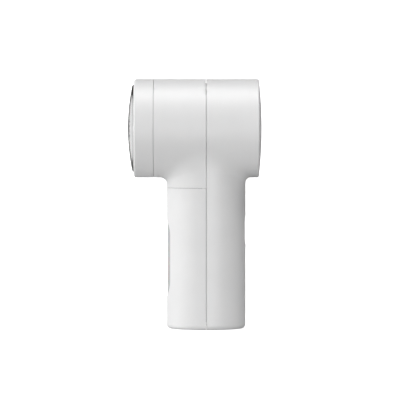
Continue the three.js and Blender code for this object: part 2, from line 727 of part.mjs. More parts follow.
function interlockSwitch() {
  return box(SWITCH.front, SWITCH.back, -SWITCH.halfWidth, SWITCH.halfWidth, SWITCH.bottom, SWITCH.top);
}

// ---------- Motor ----------

const MOTOR_SHEET = 0.8; // thickness of the motor's front
const BUSHING_HOLE = BUSHING.radius + GAP;

function motorCan() {
  const profile = [
    [MOTOR_FRONT, BUSHING_HOLE],
    [MOTOR_FRONT, MOTOR_RADIUS - MOTOR_SHEET],
    [MOTOR_FRONT + MOTOR_SHEET, MOTOR_RADIUS],
    [MOTOR_BACK, MOTOR_RADIUS],
    [MOTOR_BACK, MOTOR_BORE],
    [MOTOR_FRONT + MOTOR_SHEET, MOTOR_BORE],
    [MOTOR_FRONT + MOTOR_SHEET, BUSHING_HOLE],
  ];
  const tube = solid(turnedAboutX(profile, AROUND_MEDIUM));
  const throughFront = [MOTOR_FRONT - 1, MOTOR_FRONT + 2];
  const holes = [-1, 1].map((side) =>
    solid(rodX(...throughFront, SCREW_CLEARANCE, side * MOTOR_SCREW_RADIUS, 0, 12)),
  );
  return geometryOf(cut(tube, ...holes));
}

function motorEndCap() {
  const FRONT = MOTOR_BACK + GAP;
  const BACK = FRONT + 1.9;
  const HUB = { back: 12.4, radius: 4.6 };
  const SLOT = { y: 8, halfWidth: 0.55, halfHeight: 1.3 }; // where the terminals come out
  const profile = [
    [FRONT, BUSHING_HOLE],
    [FRONT, MOTOR_RADIUS],
    [BACK, MOTOR_RADIUS],
    [BACK, HUB.radius],
    [HUB.back, HUB.radius],
    [HUB.back, BUSHING_HOLE],
  ];
  const slots = [-1, 1].map((side) => {
    const y = side * SLOT.y;
    return solid(box(0, 20, y - SLOT.halfWidth, y + SLOT.halfWidth, -SLOT.halfHeight, SLOT.halfHeight));
  });
  return geometryOf(cut(solid(turnedAboutX(profile, AROUND_MEDIUM)), ...slots));
}

function bushing(front) {
  return ringX(front, front + BUSHING.length, SHAFT_BORE, BUSHING.radius, AROUND_SMALL);
}

function motorMagnet() {
  const MAGNET = { front: -16, back: 4, inner: 9.4, half: degrees(60) };
  const shape = new THREE.Shape()
    .absarc(0, 0, MOTOR_BORE - GAP, -MAGNET.half, MAGNET.half)
    .absarc(0, 0, MAGNET.inner, MAGNET.half, -MAGNET.half, true);
  return extrudeX(shape, MAGNET.front, MAGNET.back, 8);
}

// The three-pole stack of laminations, grown by an amount so that it can also clear its own windings.
function armatureSolid(grow) {
  const SPINE = 2.6 + grow;
  const ARM = 1.5 + grow;
  const SHOE = { inner: 7.2 - grow, outer: 8.9, half: degrees(47) };
  const POLES = [90, 210, 330];
  const back = 1 + grow;
  const front = -11 - grow;
  const shoe = new THREE.Shape()
    .absarc(0, 0, SHOE.outer + grow, -SHOE.half, SHOE.half)
    .absarc(0, 0, SHOE.inner, SHOE.half, -SHOE.half, true);
  let made = solid(rodX(front, back, SPINE, 0, 0, AROUND_SMALL));
  for (const angle of POLES) {
    made = join(
      made,
      solid(box(front, back, 0, SHOE.inner + 0.5, -ARM, ARM).rotateX(degrees(angle))),
      solid(extrudeX(shoe, front, back, 6).rotateX(degrees(angle))),
    );
  }
  return made;
}

function armatureCore() {
  return geometryOf(cut(armatureSolid(0), solid(rodX(-FAR, FAR, SHAFT_BORE, 0, 0, AROUND_SMALL))));
}

function armatureWindings() {
  const BUNDLE = { front: -14, back: 4, inner: 2.4, outer: 8.2, shoulder: 1, taper: 1.2 };
  const { front, back, inner, outer, shoulder, taper } = BUNDLE;
  const profile = [
    [front, inner],
    [front, outer - shoulder],
    [front + taper, outer],
    [back - taper, outer],
    [back, outer - shoulder],
    [back, inner],
  ];
  return geometryOf(cut(solid(turnedAboutX(profile, AROUND_MEDIUM)), armatureSolid(GAP)));
}

const commutator = () => ringX(4.4, 7.9, SHAFT_BORE, 2.6, AROUND_SMALL);
const motorShaft = () => rodX(-33.3, 13, SHAFT_RADIUS, 0, 0, AROUND_SMALL);

const motorBrush = () => box(5.2, 7.2, 3, 7.3, -0.7, 0.7);
const motorTerminal = () => box(5.2, 14, 7.7, 8.2, -1, 1);

const motorDamper = () => ringX(2.8, 6.2, MOTOR_RADIUS + GAP, 14.6, AROUND_MEDIUM);

// ---------- Lint chute ----------

function lintChute() {
  const outside = polygon([
    [-19.9, 78.6],
    [-15.2, 78.6],
    [-15.2, 70.5],
    [-3.2, 70.5],
    [-3.2, 78.5],
    [-10, 85.5],
    [-19.9, 87],
  ]);
  const inside = polygon([
    [-21, CHUTE_WINDOW.bottom],
    [-14, CHUTE_WINDOW.bottom],
    [-14, 69],
    [-4.4, 69],
    [-4.4, 78],
    [-10.5, 84.3],
    [-21, CHUTE_WINDOW.top],
  ]);
  const bore = CHUTE_HALF_WIDTH - CHUTE_WALL;
  const duct = solid(extrudeY(outside, -CHUTE_HALF_WIDTH, CHUTE_HALF_WIDTH));
  return geometryOf(cut(duct, solid(extrudeY(inside, -bore, bore))));
}

// ---------- Handle ----------

function handleChassis() {
  const WIDTH = 34.4;
  const BOTTOM = FLOOR + 0.4;
  const CORNER = 3;
  const CRADLE = { inner: BATTERY.halfWidth + 0.4, outer: BATTERY.halfWidth + 1.4, depth: 9 };
  const RIB = { depth: BOARD_FRONT - GAP, inner: 6, thickness: 1 };
  const COUNTERBORE = 2.2;
  const root = CHASSIS_BACK - 0.5;
  const cradleEnds = [BATTERY.bottom - 0.9, BATTERY.top + 0.9];
  const plate = pill(WIDTH, CHASSIS_TOP - BOTTOM, [0, (CHASSIS_TOP + BOTTOM) / 2], CORNER);
  let made = solid(extrudeX(plate, CHASSIS_FRONT, CHASSIS_BACK));
  for (const side of [-1, 1]) {
    const [near, far] = [side * CRADLE.inner, side * CRADLE.outer].sort((a, b) => a - b);
    const [ribNear, ribFar] = [side * RIB.inner, side * CRADLE.outer].sort((a, b) => a - b);
    made = join(made, solid(box(root, CRADLE.depth, near, far, ...cradleEnds)));
    for (const z of [BATTERY.bottom - GAP - RIB.thickness, BATTERY.top + GAP])
      made = join(made, solid(box(root, RIB.depth, ribNear, ribFar, z, z + RIB.thickness)));
  }
  for (const [y, z] of CHASSIS_SCREWS) {
    const hole = rodX(0, CHASSIS_BACK + 1, SCREW_CLEARANCE, y, z, 8);
    const seat = rodX(0, CHASSIS_FRONT + SCREW_HEAD + 0.1, COUNTERBORE, y, z, 12);
    made = cut(made, solid(hole), solid(seat));
  }
  return geometryOf(made);
}

function batteryPack() {
  const EDGE_RADIUS = 2.4;
  const thickness = BATTERY.back - CHASSIS_BACK - 0.5;
  const centre = [BATTERY.back - thickness / 2, 0];
  const shape = pill(thickness, 2 * BATTERY.halfWidth, centre, EDGE_RADIUS);
  return extrudeZ(shape, BATTERY.bottom, BATTERY.top);
}

function mainBoard() {
  const board = box(BOARD_FRONT, BOARD_BACK, -BOARD_HALF_WIDTH, BOARD_HALF_WIDTH, BOARD_BOTTOM, BOARD_TOP);
  const base = BOARD_BACK - 0.3;
  const controller = box(base, 13.4, -7, -2, 20, 25);
  const charger = box(base, 13.3, 2, 6, 13, 17);
  const driver = box(base, 13.5, 3, 8, 38, 43);
  const coil = box(base, 14.4, -6, 0, 28, 33);
  const parts = [controller, charger, driver, coil];
  return geometryOf(join(...[board, ...parts].map(solid)));
}

function tactSwitch() {
  const { front, back, half, bore } = TACT;
  const body = solid(box(front, back, -half, half, BUTTON_Z - half, BUTTON_Z + half));
  return geometryOf(cut(body, solid(rodX(front + 0.2, back + 1, bore, 0, BUTTON_Z))));
}

const switchPlunger = () => rodX(PLUNGER.front, PLUNGER.back, PLUNGER.radius, 0, BUTTON_Z);

function powerButton() {
  const FLANGE = { outer: HANDLE_RADIUS - WALL - 0.4, inner: HANDLE_RADIUS - WALL - 1.4 };
  const POST = { front: 16.2, back: 17, radius: 1.6 };
  const grown = (by) => extrudeX(pill(BUTTON_WIDTH + by, BUTTON_HEIGHT + by, [0, BUTTON_Z]), 10, 30);
  const face = grown(-0.6);
  const wide = grown(3);
  const cap = cut(column(HANDLE_RADIUS + BUTTON_PROUD).intersect(solid(face)), column(FLANGE.inner));
  const flange = cut(column(FLANGE.outer).intersect(solid(wide)), column(FLANGE.inner));
  return geometryOf(join(cap, flange, solid(rodX(POST.front, POST.back, POST.radius, 0, BUTTON_Z))));
}

function ledLens() {
  const FLANGE = { front: 15.9, back: 17.2, radius: 1.7 };
  const STEM = 1;
  const profile = [
    [FLANGE.front, 0],
    [FLANGE.front, FLANGE.radius],
    [FLANGE.back, FLANGE.radius],
    [FLANGE.back, STEM],
    [HANDLE_RADIUS, STEM],
    [HANDLE_RADIUS, 0],
  ];
  return turnedAboutX(profile, 16);
}

function usbReceptacle() {
  const WALL_THICKNESS = 0.35;
  const CORNER = 1.4;
  const TONGUE = { halfThickness: 0.4, halfWidth: 3.2 };
  const { x, width, thickness, bottom, depth } = PORT;
  const top = bottom + depth;
  const shell = (inset) => pill(thickness - 2 * inset, width - 2 * inset, [x, 0], CORNER - inset);
  const outside = extrudeZ(shell(0), bottom, top);
  const hollow = extrudeZ(shell(WALL_THICKNESS), bottom - 1, top - 1);
  const { halfThickness, halfWidth } = TONGUE;
  const tongueSides = [x - halfThickness, x + halfThickness, -halfWidth, halfWidth];
  const tongue = box(...tongueSides, bottom + 1, top - 0.5);
  return geometryOf(join(cut(solid(outside), solid(hollow)), solid(tongue)));
}

// A pan-head screw along X, the underside of its head at X = 0, with a square driver recess in front.
function screw(length) {
  const RADIUS = 1.9;
  const SHANK = 0.85;
  const RECESS = { depth: 0.5, half: 0.6 };
  const profile = [
    [-SCREW_HEAD, 0],
    [-SCREW_HEAD, RADIUS],
    [0, RADIUS],
    [0, SHANK],
    [length, SHANK],
    [length, 0],
  ];
  const { depth, half } = RECESS;
  const recess = box(-2, depth - SCREW_HEAD, -half, half, -half, half);
  return geometryOf(cut(solid(turnedAboutX(profile, 8)), solid(recess)));
}

// ---------- Leads ----------

function motorLead(side) {
  return wire(
    [
      [13.4, side * 5, 61.2],
      [13.9, side * 5.2, 68],
      [15.4, side * 6.5, 78],
      [17, side * 7.6, 88],
      [17.2, side * 8, 95],
      [15.6, side * 8, 99],
    ],
    LEAD_RADIUS,
    12,
  );
}

function batteryLead(side) {
  return wire(
    [
      [6.4, side * 3, 59.4],
      [6.5, side * 3, 61.5],
      [8, side * 3.1, 63.8],
      [10.6, side * 3.2, 63.9],
      [11.8, side * 3.2, 61.5],
    ],
    LEAD_RADIUS,
    10,
  );
}

// ---------- Assembly ----------

function mesh(name, geometry, material, place = [0, 0, 0], turn = 0) {
  const made = new THREE.Mesh(geometry, material);
  made.name = name;
  made.position.set(...place);
  made.rotation.x = turn;
  return made;
}

const LONG_SCREW = 8;
const SCREW_SEAT = CHAMBER_WALL_FRONT - 0.05; // where the heads of the chamber's screws rest

const shaver = new THREE.Group();

const handle = new THREE.Group();
handle.add(
  mesh("front_housing", frontHousing(), WHITE_SHELL),
  mesh("rear_housing", rearHousing(), WHITE_SHELL),
  mesh("handle_chassis", handleChassis(), LIGHT_GREY),
  mesh("lint_chute", lintChute(), LIGHT_GREY),
  mesh("battery_pack", batteryPack(), BATTERY_FILM),
  mesh("main_board", mainBoard(), BOARD_GREEN),
  mesh("tact_switch", tactSwitch(), DARK_PLASTIC),
  mesh("usb_receptacle", usbReceptacle(), STEEL),
  mesh("led_lens", ledLens(), LENS, [0, 0, LENS_Z]),
  mesh("motor_lead_positive", motorLead(1), RED_WIRE),
  mesh("motor_lead_negative", motorLead(-1), BLACK_WIRE),
  mesh("battery_lead_positive", batteryLead(1), RED_WIRE),
  mesh("battery_lead_negative", batteryLead(-1), BLACK_WIRE),
);
CHASSIS_SCREWS.forEach(([y, z], i) => {
  const place = [CHASSIS_FRONT + SCREW_HEAD + 0.05, y, z];
  handle.add(mesh(`chassis_screw_${i + 1}`, screw(LONG_SCREW), ZINC_STEEL, place));
});

const button = new THREE.Group();
button.add(
  mesh("power_button", powerButton(), WHITE_SHELL),
  mesh("switch_plunger", switchPlunger(), LIGHT_GREY),
);

const bin = new THREE.Group();
bin.add(
  mesh("lint_bin", lintBin(), WHITE_SHELL),
  mesh("bin_window", binWindow(), SMOKED),
  mesh("bin_seal", binSeal(), BLACK_RUBBER),
);

// Everything below lies on the head's axis.
const head = new THREE.Group();
head.position.z = HEAD_Z;
head.add(
  mesh("blade_chamber", bladeChamber(), LIGHT_GREY),
  mesh("chamber_o_ring", chamberORing(), BLACK_RUBBER),
  mesh("shaft_seal", shaftSeal(), FELT),
  mesh("interlock_switch", interlockSwitch(), DARK_PLASTIC),
  mesh("interlock_pin", interlockPin(), LIGHT_GREY, [0, 0, PIN_RADIUS_FROM_AXIS]),
  mesh("collar_ring", collarRing(), WHITE_SHELL),
  mesh("foil_bezel", foilBezel(), POLISHED_STEEL),
  mesh("foil", foil(), STEEL),
  mesh("foil_clamp", foilClamp(), DARK_PLASTIC),
);
CHAMBER_SCREW_ANGLES.forEach((angle, i) => {
  const [y, z] = onCircle(CHAMBER_SCREW_RADIUS, angle);
  head.add(mesh(`chamber_screw_${i + 1}`, screw(LONG_SCREW), ZINC_STEEL, [SCREW_SEAT, y, z]));
});

const motor = new THREE.Group();
motor.add(
  mesh("motor_can", motorCan(), ZINC_STEEL),
  mesh("motor_end_cap", motorEndCap(), LIGHT_GREY),
  mesh("motor_front_bushing", bushing(MOTOR_FRONT + 0.1), BRASS),
  mesh("motor_rear_bushing", bushing(10), BRASS),
  mesh("motor_damper", motorDamper(), BLACK_RUBBER),
);
[-1, 1].forEach((side, i) => {
  const turn = side > 0 ? 0 : Math.PI;
  const label = ["left", "right"][i];
  const screwPlace = [SCREW_SEAT, side * MOTOR_SCREW_RADIUS, 0];
  motor.add(
    mesh(`motor_magnet_${label}`, motorMagnet(), FERRITE, [0, 0, 0], turn),
    mesh(`motor_brush_${label}`, motorBrush(), COPPER, [0, 0, 0], turn),
    mesh(`motor_terminal_${label}`, motorTerminal(), BRASS, [0, 0, 0], turn),
    mesh(`motor_screw_${i + 1}`, screw(3.4), ZINC_STEEL, screwPlace),
  );
});

const rotor = new THREE.Group();
rotor.add(
  mesh("motor_shaft", motorShaft(), STEEL),
  mesh("armature_core", armatureCore(), ZINC_STEEL),
  mesh("armature_windings", armatureWindings(), COPPER),
  mesh("commutator", commutator(), COPPER),
  mesh("drive_hub", driveHub(), DARK_PLASTIC),
  mesh("cutter_spring", cutterSpring(), SPRING_STEEL),
);

const cutter = new THREE.Group();
cutter.add(mesh("cutter_disc", cutterDisc(), DARK_PLASTIC));
bladeAngles.forEach((angle, i) => {
  cutter.add(mesh(`cutter_blade_${i + 1}`, cutterBlade(), STEEL, [0, 0, 0], degrees(angle)));
});

motor.add(rotor);
head.add(motor, cutter);
shaver.add(handle, button, bin, head);
// From here on the origin is under the middle of the shaver's length.
shaver.position.x = -(DOME_TIP + BACK_TIP) / 2;

const part = new THREE.Group();
part.add(shaver);

export default part;
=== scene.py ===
"""The looks of a cordless fabric shaver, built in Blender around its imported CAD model.

Shapes are worked out in millimetres from the handle's axis, with Z up from the base, and to_object() puts
them in the frame. The shaving face looks along -X, and the head's axis runs along X at height HEAD_Z.
"""

import json
import math

import bpy
import bmesh
import numpy as np
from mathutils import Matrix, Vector
from mathutils.geometry import delaunay_2d_cdt


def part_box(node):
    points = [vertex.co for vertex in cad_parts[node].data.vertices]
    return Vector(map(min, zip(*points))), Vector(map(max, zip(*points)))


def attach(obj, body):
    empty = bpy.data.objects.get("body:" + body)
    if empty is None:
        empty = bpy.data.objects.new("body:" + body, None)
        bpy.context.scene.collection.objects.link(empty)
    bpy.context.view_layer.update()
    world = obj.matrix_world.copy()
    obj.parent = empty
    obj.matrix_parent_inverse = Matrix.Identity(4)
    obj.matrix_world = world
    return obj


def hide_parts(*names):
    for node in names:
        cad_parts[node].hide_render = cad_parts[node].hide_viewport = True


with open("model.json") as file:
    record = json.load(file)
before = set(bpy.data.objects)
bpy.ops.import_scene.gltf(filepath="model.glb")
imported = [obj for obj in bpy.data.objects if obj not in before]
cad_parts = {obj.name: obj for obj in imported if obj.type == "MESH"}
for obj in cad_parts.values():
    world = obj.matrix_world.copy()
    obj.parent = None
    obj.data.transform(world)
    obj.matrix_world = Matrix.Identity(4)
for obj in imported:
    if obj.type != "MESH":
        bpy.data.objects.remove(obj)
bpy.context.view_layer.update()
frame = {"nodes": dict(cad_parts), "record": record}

# ---------- Dimensions, in millimetres ----------

MM = 0.001
HANDLE_RADIUS = 19.6
HANDLE_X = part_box("lint_bin")[0].x / MM + HANDLE_RADIUS  # the handle's axis in the frame


def span(node, axis):
    """The lowest and highest place of a CAD node along an axis, from the handle's axis and the base."""
    low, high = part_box(node)
    shift = HANDLE_X if axis == "x" else 0
    return getattr(low, axis) / MM - shift, getattr(high, axis) / MM - shift


def middle(node, axis):
    return sum(span(node, axis)) / 2


COLLAR_FRONT, COLLAR_BACK = span("collar_ring", "x")
HEAD_RADIUS = span("collar_ring", "y")[1]
HEAD_Z = middle("collar_ring", "z")
HOUSING_FRONT = span("front_housing", "x")[0]
BACK_TIP = span("rear_housing", "x")[1]
SEAM = 0.22  # gap along the upright parting lines
FINE_SEAM = 0.14  # gap round the collar and above the bin
BIN_LINE = (span("front_housing", "z")[0] + span("lint_bin", "z")[1]) / 2
NECK_BOTTOM, BIN_TOP = BIN_LINE + FINE_SEAM / 2, BIN_LINE - FINE_SEAM / 2
DOME_TIP = span("foil", "x")[0]
WINDOW_LOW, WINDOW_HIGH = span("bin_window", "z")
WINDOW_HALF_WIDTH = span("bin_window", "y")[1]
BUTTON_Z = middle("power_button", "z")
BUTTON_OUT = span("power_button", "x")[1]
LENS_Z = middle("led_lens", "z")
PORT_X = middle("usb_receptacle", "x")
CHUTE_HALF = span("lint_chute", "y")[1]

WALL = 1.8
BIN_WALL = 1.6
SCREW_CIRCLE = 17.6  # the chamber's screws, about the head's axis
SCREW_ANGLES = (35, 145, 205, 335)
PIN_RISE = 18.6  # the interlock pin, above the head's axis
SEAM_EDGE = 0.15  # rounding of the edges along the parting lines
LIP_FRONT = -0.04  # front of the ribs that close the upright seam behind the bin
BACK_SPHERE = 210  # radius that the back of the head is domed to
BACK_FILLET = 0.9
BASE_FILLET = 2.2
COLLAR_FILLET = 1.2
DOME_SPHERE = 105  # radius that the foil is domed to
FOIL_RADIUS = 17.1
FOIL_SHEET = 0.25
HOLE_PITCH = 2.35
HOLE_RADIUS = 0.8
PERFORATED_RADIUS = 15.9
PILOT_RADIUS = 0.95  # of the bores in the screws' posts
BLADES = 5
SCREWS = range(1, 5)  # in the chamber, and as many in the chassis

LAMPS = {  # strength, and the way from the object to each lamp
    "left": (1.3, (-1, 0.1, 0.1)),
    "front": (1.51, (0.3, -1, -0.1)),
    "top": (1.94, (0.1, -0.1, 1)),
    "back": (1.2, (0.25, 1, 0.1)),
}
LAMP_SPREAD = 40  # degrees
UNMIRRORED = ("left", "back")  # lamps that light the shaver but don't glint in it
PANEL = 0.95  # brightness of the white panel along the left of the room and of the strip at its horizon
ROOM_ABOVE, ROOM_BELOW = 0.05, 0.15  # brightness of the rest of the room

ROUND = 160  # segments of the large rounds
SMALL_ROUND = 48

# ---------- Which body and slot a CAD node has ----------

BODY_OF = {node: body for body, nodes in frame["record"]["behaviour"]["bodies"].items() for node in nodes}
SLOT_OF = {part["node"]: part["material_slot"] for part in frame["record"]["subparts"]}

# ---------- Shapes: points in millimetres and faces ----------


class Shape:
    """Points and the faces between them."""

    def __init__(self, points=(), faces=()):
        self.points = [tuple(map(float, p)) for p in points]
        self.faces = [tuple(face) for face in faces]

    def __add__(self, other):
        shift = len(self.points)
        moved = [tuple(i + shift for i in face) for face in other.faces]
        return Shape(self.points + other.points, self.faces + moved)

    def turned_x(self, degrees):
        """This shape turned about the head's axis."""
        c, s = math.cos(math.radians(degrees)), math.sin(math.radians(degrees))
        turned = [(x, c * y - s * (z - HEAD_Z), HEAD_Z + s * y + c * (z - HEAD_Z)) for x, y, z in self.points]
        return Shape(turned, self.faces)


def strip(first, second):
    """Quads between two rows of point numbers, with triangles where a row closes to a point."""
    faces = []
    for a, b, c, d in zip(first, first[1:], second[1:], second):
        face = list(dict.fromkeys((a, b, c, d)))
        if len(face) > 2:
            faces.append(face)
    return faces


def sheet(rows):
    """An open surface through rows of points, all rows as long as each other."""
    points, faces, before = [], [], None
    for row in rows:
        numbers = list(range(len(points), len(points) + len(row)))
        points += list(row)
        if before:
            faces += strip(before, numbers)
        before = numbers
    return Shape(points, faces)


def loft(loops, capped=True):
    """A solid through closed loops of points."""
    shape = sheet([[*loop, loop[0]] for loop in loops])
    if capped:
        wide = len(loops[0]) + 1
        last = len(shape.points) - wide
        shape.faces += [tuple(range(wide - 2, -1, -1)), tuple(range(last, last + wide - 1))]
    return shape


def ring_closed(loops):
    """A solid whose loops run round and meet again, such as a helical or ring-shaped bar."""
    return loft([*loops, loops[0]], capped=False)


def soften(profile, radius=0.15, steps=2, closed=True):
    """A profile with its corners rounded."""
    made = []
    count = len(profile)
    for i, here in enumerate(profile):
        if not closed and i in (0, count - 1):
            made.append(here)
            continue
        here = Vector(here)
        back = Vector(profile[i - 1]) - here
        ahead = Vector(profile[(i + 1) % count]) - here
        turn = back.angle(-ahead)
        if turn < math.radians(20):
            made.append(tuple(here))
            continue
        reach = min(radius * math.tan(turn / 2), 0.4 * back.length, 0.4 * ahead.length)
        start, end = here + back.normalized() * reach, here + ahead.normalized() * reach
        for k in range(steps + 1):
            t = k / steps
            made.append(tuple(start * (1 - t) ** 2 + here * 2 * t * (1 - t) + end * t**2))
    return made


def full_turn(steps):
    """Angles once round, without the last one, which is the first again."""
    return [2 * math.pi * i / steps for i in range(steps)]


def turned_solid(loops, profile):
    """The solid through a turned profile's loops, which meet at points if the profile starts on its axis."""
    on_axis = profile[0][1] == 0
    return welded(loft(loops, capped=False) if on_axis else ring_closed(loops))


def revolve_x(profile, around=ROUND, y=0, z=HEAD_Z):
    """A profile of (x, radius) turned about a line along X."""
    turns = full_turn(around)
    loops = [[(x, y + r * math.cos(a), z + r * math.sin(a)) for a in turns] for x, r in profile]
    return turned_solid(loops, profile)


def part_turn_x(profile, start, end):
    """A profile of (x, radius) turned part of the way round the head's axis, between angles in degrees."""
    turns = [math.radians(a) for a in np.linspace(start, end, round((end - start) / 3) + 1)]
    return loft([[(x, r * math.cos(a), HEAD_Z + r * math.sin(a)) for x, r in profile] for a in turns])


def revolve_z(profile, around=ROUND):
    """A profile of (height, radius) turned about the handle's axis."""
    turns = full_turn(around)
    loops = [[(r * math.cos(a), r * math.sin(a), z) for a in turns] for z, r in profile]
    return turned_solid(loops, profile)


def welded(shape, within=1e-5):
    """The shape with points that lie together made one, and faces that collapse dropped."""
    keys, kept, number = {}, [], []
    for point in shape.points:
        key = tuple(round(value / within) for value in point)
        if key not in keys:
            keys[key] = len(kept)
            kept.append(point)
        number.append(keys[key])
    faces = []
    for face in shape.faces:
        new = list(dict.fromkeys(number[i] for i in face))
        if len(new) > 2:
            faces.append(new)
    return Shape(kept, faces)


def slab(outline, axis, low, high):
    """A solid with one outline from end to end, which lies across an axis between two places on it."""
    at = "xyz".index(axis)
    return loft([[(*point[:at], end, *point[at:]) for point in outline] for end in (low, high)])


def box(x0, x1, y0, y1, z0, z1):
    return slab([(y0, z0), (y1, z0), (y1, z1), (y0, z1)], "x", x0, x1)


def side_box(side, x0, x1, near, far, z0, z1):
    """A box on one side of the middle plane (-1 or 1), between two distances from it."""
    return box(x0, x1, *sorted((side * near, side * far)), z0, z1)


def rod_x(x0, x1, radius, y=0, z=0, around=SMALL_ROUND):
    return revolve_x([(x0, 0), (x0, radius), (x1, radius), (x1, 0)], around, y, z)


def arc(centre, radius, start, end, steps):
    """Points of an arc in a profile, from one angle to another in degrees."""
    turns = [math.radians(start + (end - start) * i / steps) for i in range(steps + 1)]
    return [(centre[0] + radius * math.cos(a), centre[1] + radius * math.sin(a)) for a in turns]


def sag(sphere, distance):
    """How far a sphere has curved back at a distance from its pole."""
    return sphere - math.sqrt(sphere**2 - distance**2)


def dome_at(radius):
    return DOME_TIP + sag(DOME_SPHERE, radius)


def pill(width, height, centre_z, inset=0.0, steps=16):
    """The outline of a long shape with round ends, as (across, along) points."""
    radius = width / 2 - inset
    straight = height / 2 - width / 2
    top = [(radius * math.cos(a), centre_z + straight + radius * math.sin(a))
           for a in np.linspace(0, math.pi, steps)]
    bottom = [(-y, 2 * centre_z - z) for y, z in top]
    sides = np.linspace(centre_z + straight, centre_z - straight, 14)[1:-1]
    return [*top, *[(-radius, z) for z in sides], *bottom, *[(radius, 2 * centre_z - z) for z in sides]]


def on_handle(outline, radius, side):
    """An outline of (y, z) points laid on an upright cylinder, on the front (-1) or the back (1)."""
    return [(side * math.sqrt(radius**2 - y**2), y, z) for y, z in outline]


def helix_bar(start, end, inner, outer, half_width, at_x, lead):
    """A bar that winds about the head's axis, moving forward as it turns."""
    steps = max(4, round((end - start) / 3))
    loops = []
    for i in range(steps + 1):
        degrees = start + (end - start) * i / steps
        x = at_x - lead * degrees / 360
        c, s = math.cos(math.radians(-degrees)), math.sin(math.radians(-degrees))
        section = [(-1, inner), (1, inner), (1, outer), (-1, outer)]
        loops.append([(x + side * half_width, r * c, HEAD_Z + r * s) for side, r in section])
    return loft(loops)


def sweep(points, radius, sides=12):
    """A round wire along points."""
    path = [Vector(p) for p in points]
    loops, across = [], Vector((0, 1, 0))
    for i, here in enumerate(path):
        along = (path[min(i + 1, len(path) - 1)] - path[max(i - 1, 0)]).normalized()
        across = (across - along * across.dot(along)).normalized()
        other = along.cross(across)
        loops.append([tuple(here + (across * math.cos(a) + other * math.sin(a)) * radius)
                      for a in full_turn(sides)])
    return loft(loops)


# ---------- Blender objects from shapes ----------


def in_scene(name, data):
    obj = bpy.data.objects.new(name, data)
    bpy.context.scene.collection.objects.link(obj)
    return obj


def to_object(shape, name="shape"):
    mesh = bpy.data.meshes.new(name)
    points = [((x + HANDLE_X) * MM, y * MM, z * MM) for x, y, z in shape.points]
    mesh.from_pydata(points, [], shape.faces)
    made = bmesh.new()
    made.from_mesh(mesh)
    bmesh.ops.remove_doubles(made, verts=made.verts, dist=1e-8)
    bmesh.ops.recalc_face_normals(made, faces=made.faces)
    made.to_mesh(mesh)
    made.free()
    return in_scene(name, mesh)


def apply_modifiers(obj):
    graph = bpy.context.evaluated_depsgraph_get()
    graph.update()
    made = bpy.data.meshes.new_from_object(obj.evaluated_get(graph))
    obj.modifiers.clear()
    old, obj.data = obj.data, made
    bpy.data.meshes.remove(old)
    return obj


def thicken(obj, thickness):
    """A closed shell from an open sheet whose normals point out."""
    solid = obj.modifiers.new("solidify", "SOLIDIFY")
    solid.thickness = thickness * MM
    solid.offset = -1
    solid.use_even_offset = True
    return apply_modifiers(obj)


def combine(obj, shapes, operation):
    """Cuts shapes from an object, or joins them to it."""
    for shape in shapes:
        other = shape if isinstance(shape, bpy.types.Object) else to_object(shape, "tool")
        boolean = obj.modifiers.new("boolean", "BOOLEAN")
        boolean.operation = operation
        boolean.solver = "EXACT"
        boolean.object = other
        apply_modifiers(obj)
        bpy.data.objects.remove(other)
    return obj


def cut(obj, *shapes):
    return combine(obj, shapes, "DIFFERENCE")


def join(obj, *shapes):
    return combine(obj, shapes, "UNION")


def bevelled(obj, name, width, sharpest):
    """A modifier that rounds the edges that turn by more than an angle in degrees."""
    bevel = obj.modifiers.new(name, "BEVEL")
    bevel.width = width * MM
    bevel.segments = 2
    bevel.limit_method = "ANGLE"
    bevel.angle_limit = math.radians(sharpest)
    return bevel


def round_edges(obj, width):
    bevelled(obj, "bevel", width, 38).miter_outer = "MITER_ARC"
    return apply_modifiers(obj)


def shade(obj, sharp=50):
    """Smooth shading, with the large faces deciding the normals of small rounded edges."""
    mesh = obj.data
    mesh.shade_smooth()
    mesh.set_sharp_from_angle(angle=math.radians(sharp))
    weighted = obj.modifiers.new("weighted_normal", "WEIGHTED_NORMAL")
    weighted.keep_sharp = True
    weighted.weight = 50
    return apply_modifiers(obj)


def piece(obj, node, *more_nodes, sharp=50):
    """Makes an object the finished piece that stands for a CAD node, and for others if they are named."""
    if isinstance(obj, Shape):
        obj = to_object(obj, node)
    shade(obj, sharp)
    obj.name = node + "_visual"
    obj.data.name = obj.name
    obj.data.materials.clear()
    obj.data.materials.append(MATERIALS[SLOT_OF[node]])
    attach(obj, BODY_OF[node])
    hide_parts(node, *more_nodes)
    return obj


# ---------- Materials ----------


def new_material(name):
    material = bpy.data.materials.new(name)
    material.use_nodes = True
    nodes = material.node_tree.nodes
    return material, nodes, material.node_tree.links, nodes["Principled BSDF"]


def settings(node, values):
    """Sets a node's sockets by their names."""
    for name, value in values.items():
        node.inputs[name].default_value = value


def noise_over(nodes, links, scale, detail):
    """Noise fixed to the piece."""
    place = nodes.new("ShaderNodeTexCoord")
    noise = nodes.new("ShaderNodeTexNoise")
    settings(noise, {"Scale": scale, "Detail": detail})
    links.new(place.outputs["Object"], noise.inputs["Vector"])
    return noise


def mottled(nodes, links, shader, light, dark, scale, detail=4.0):
    """Gives a surface a colour that drifts between two values."""
    noise = noise_over(nodes, links, scale, detail)
    ramp = nodes.new("ShaderNodeValToRGB")
    ramp.color_ramp.elements[0].position = 0.35
    ramp.color_ramp.elements[0].color = (*dark, 1)
    ramp.color_ramp.elements[1].position = 0.65
    ramp.color_ramp.elements[1].color = (*light, 1)
    links.new(noise.outputs["Fac"], ramp.inputs["Fac"])
    links.new(ramp.outputs["Color"], shader.inputs["Base Color"])


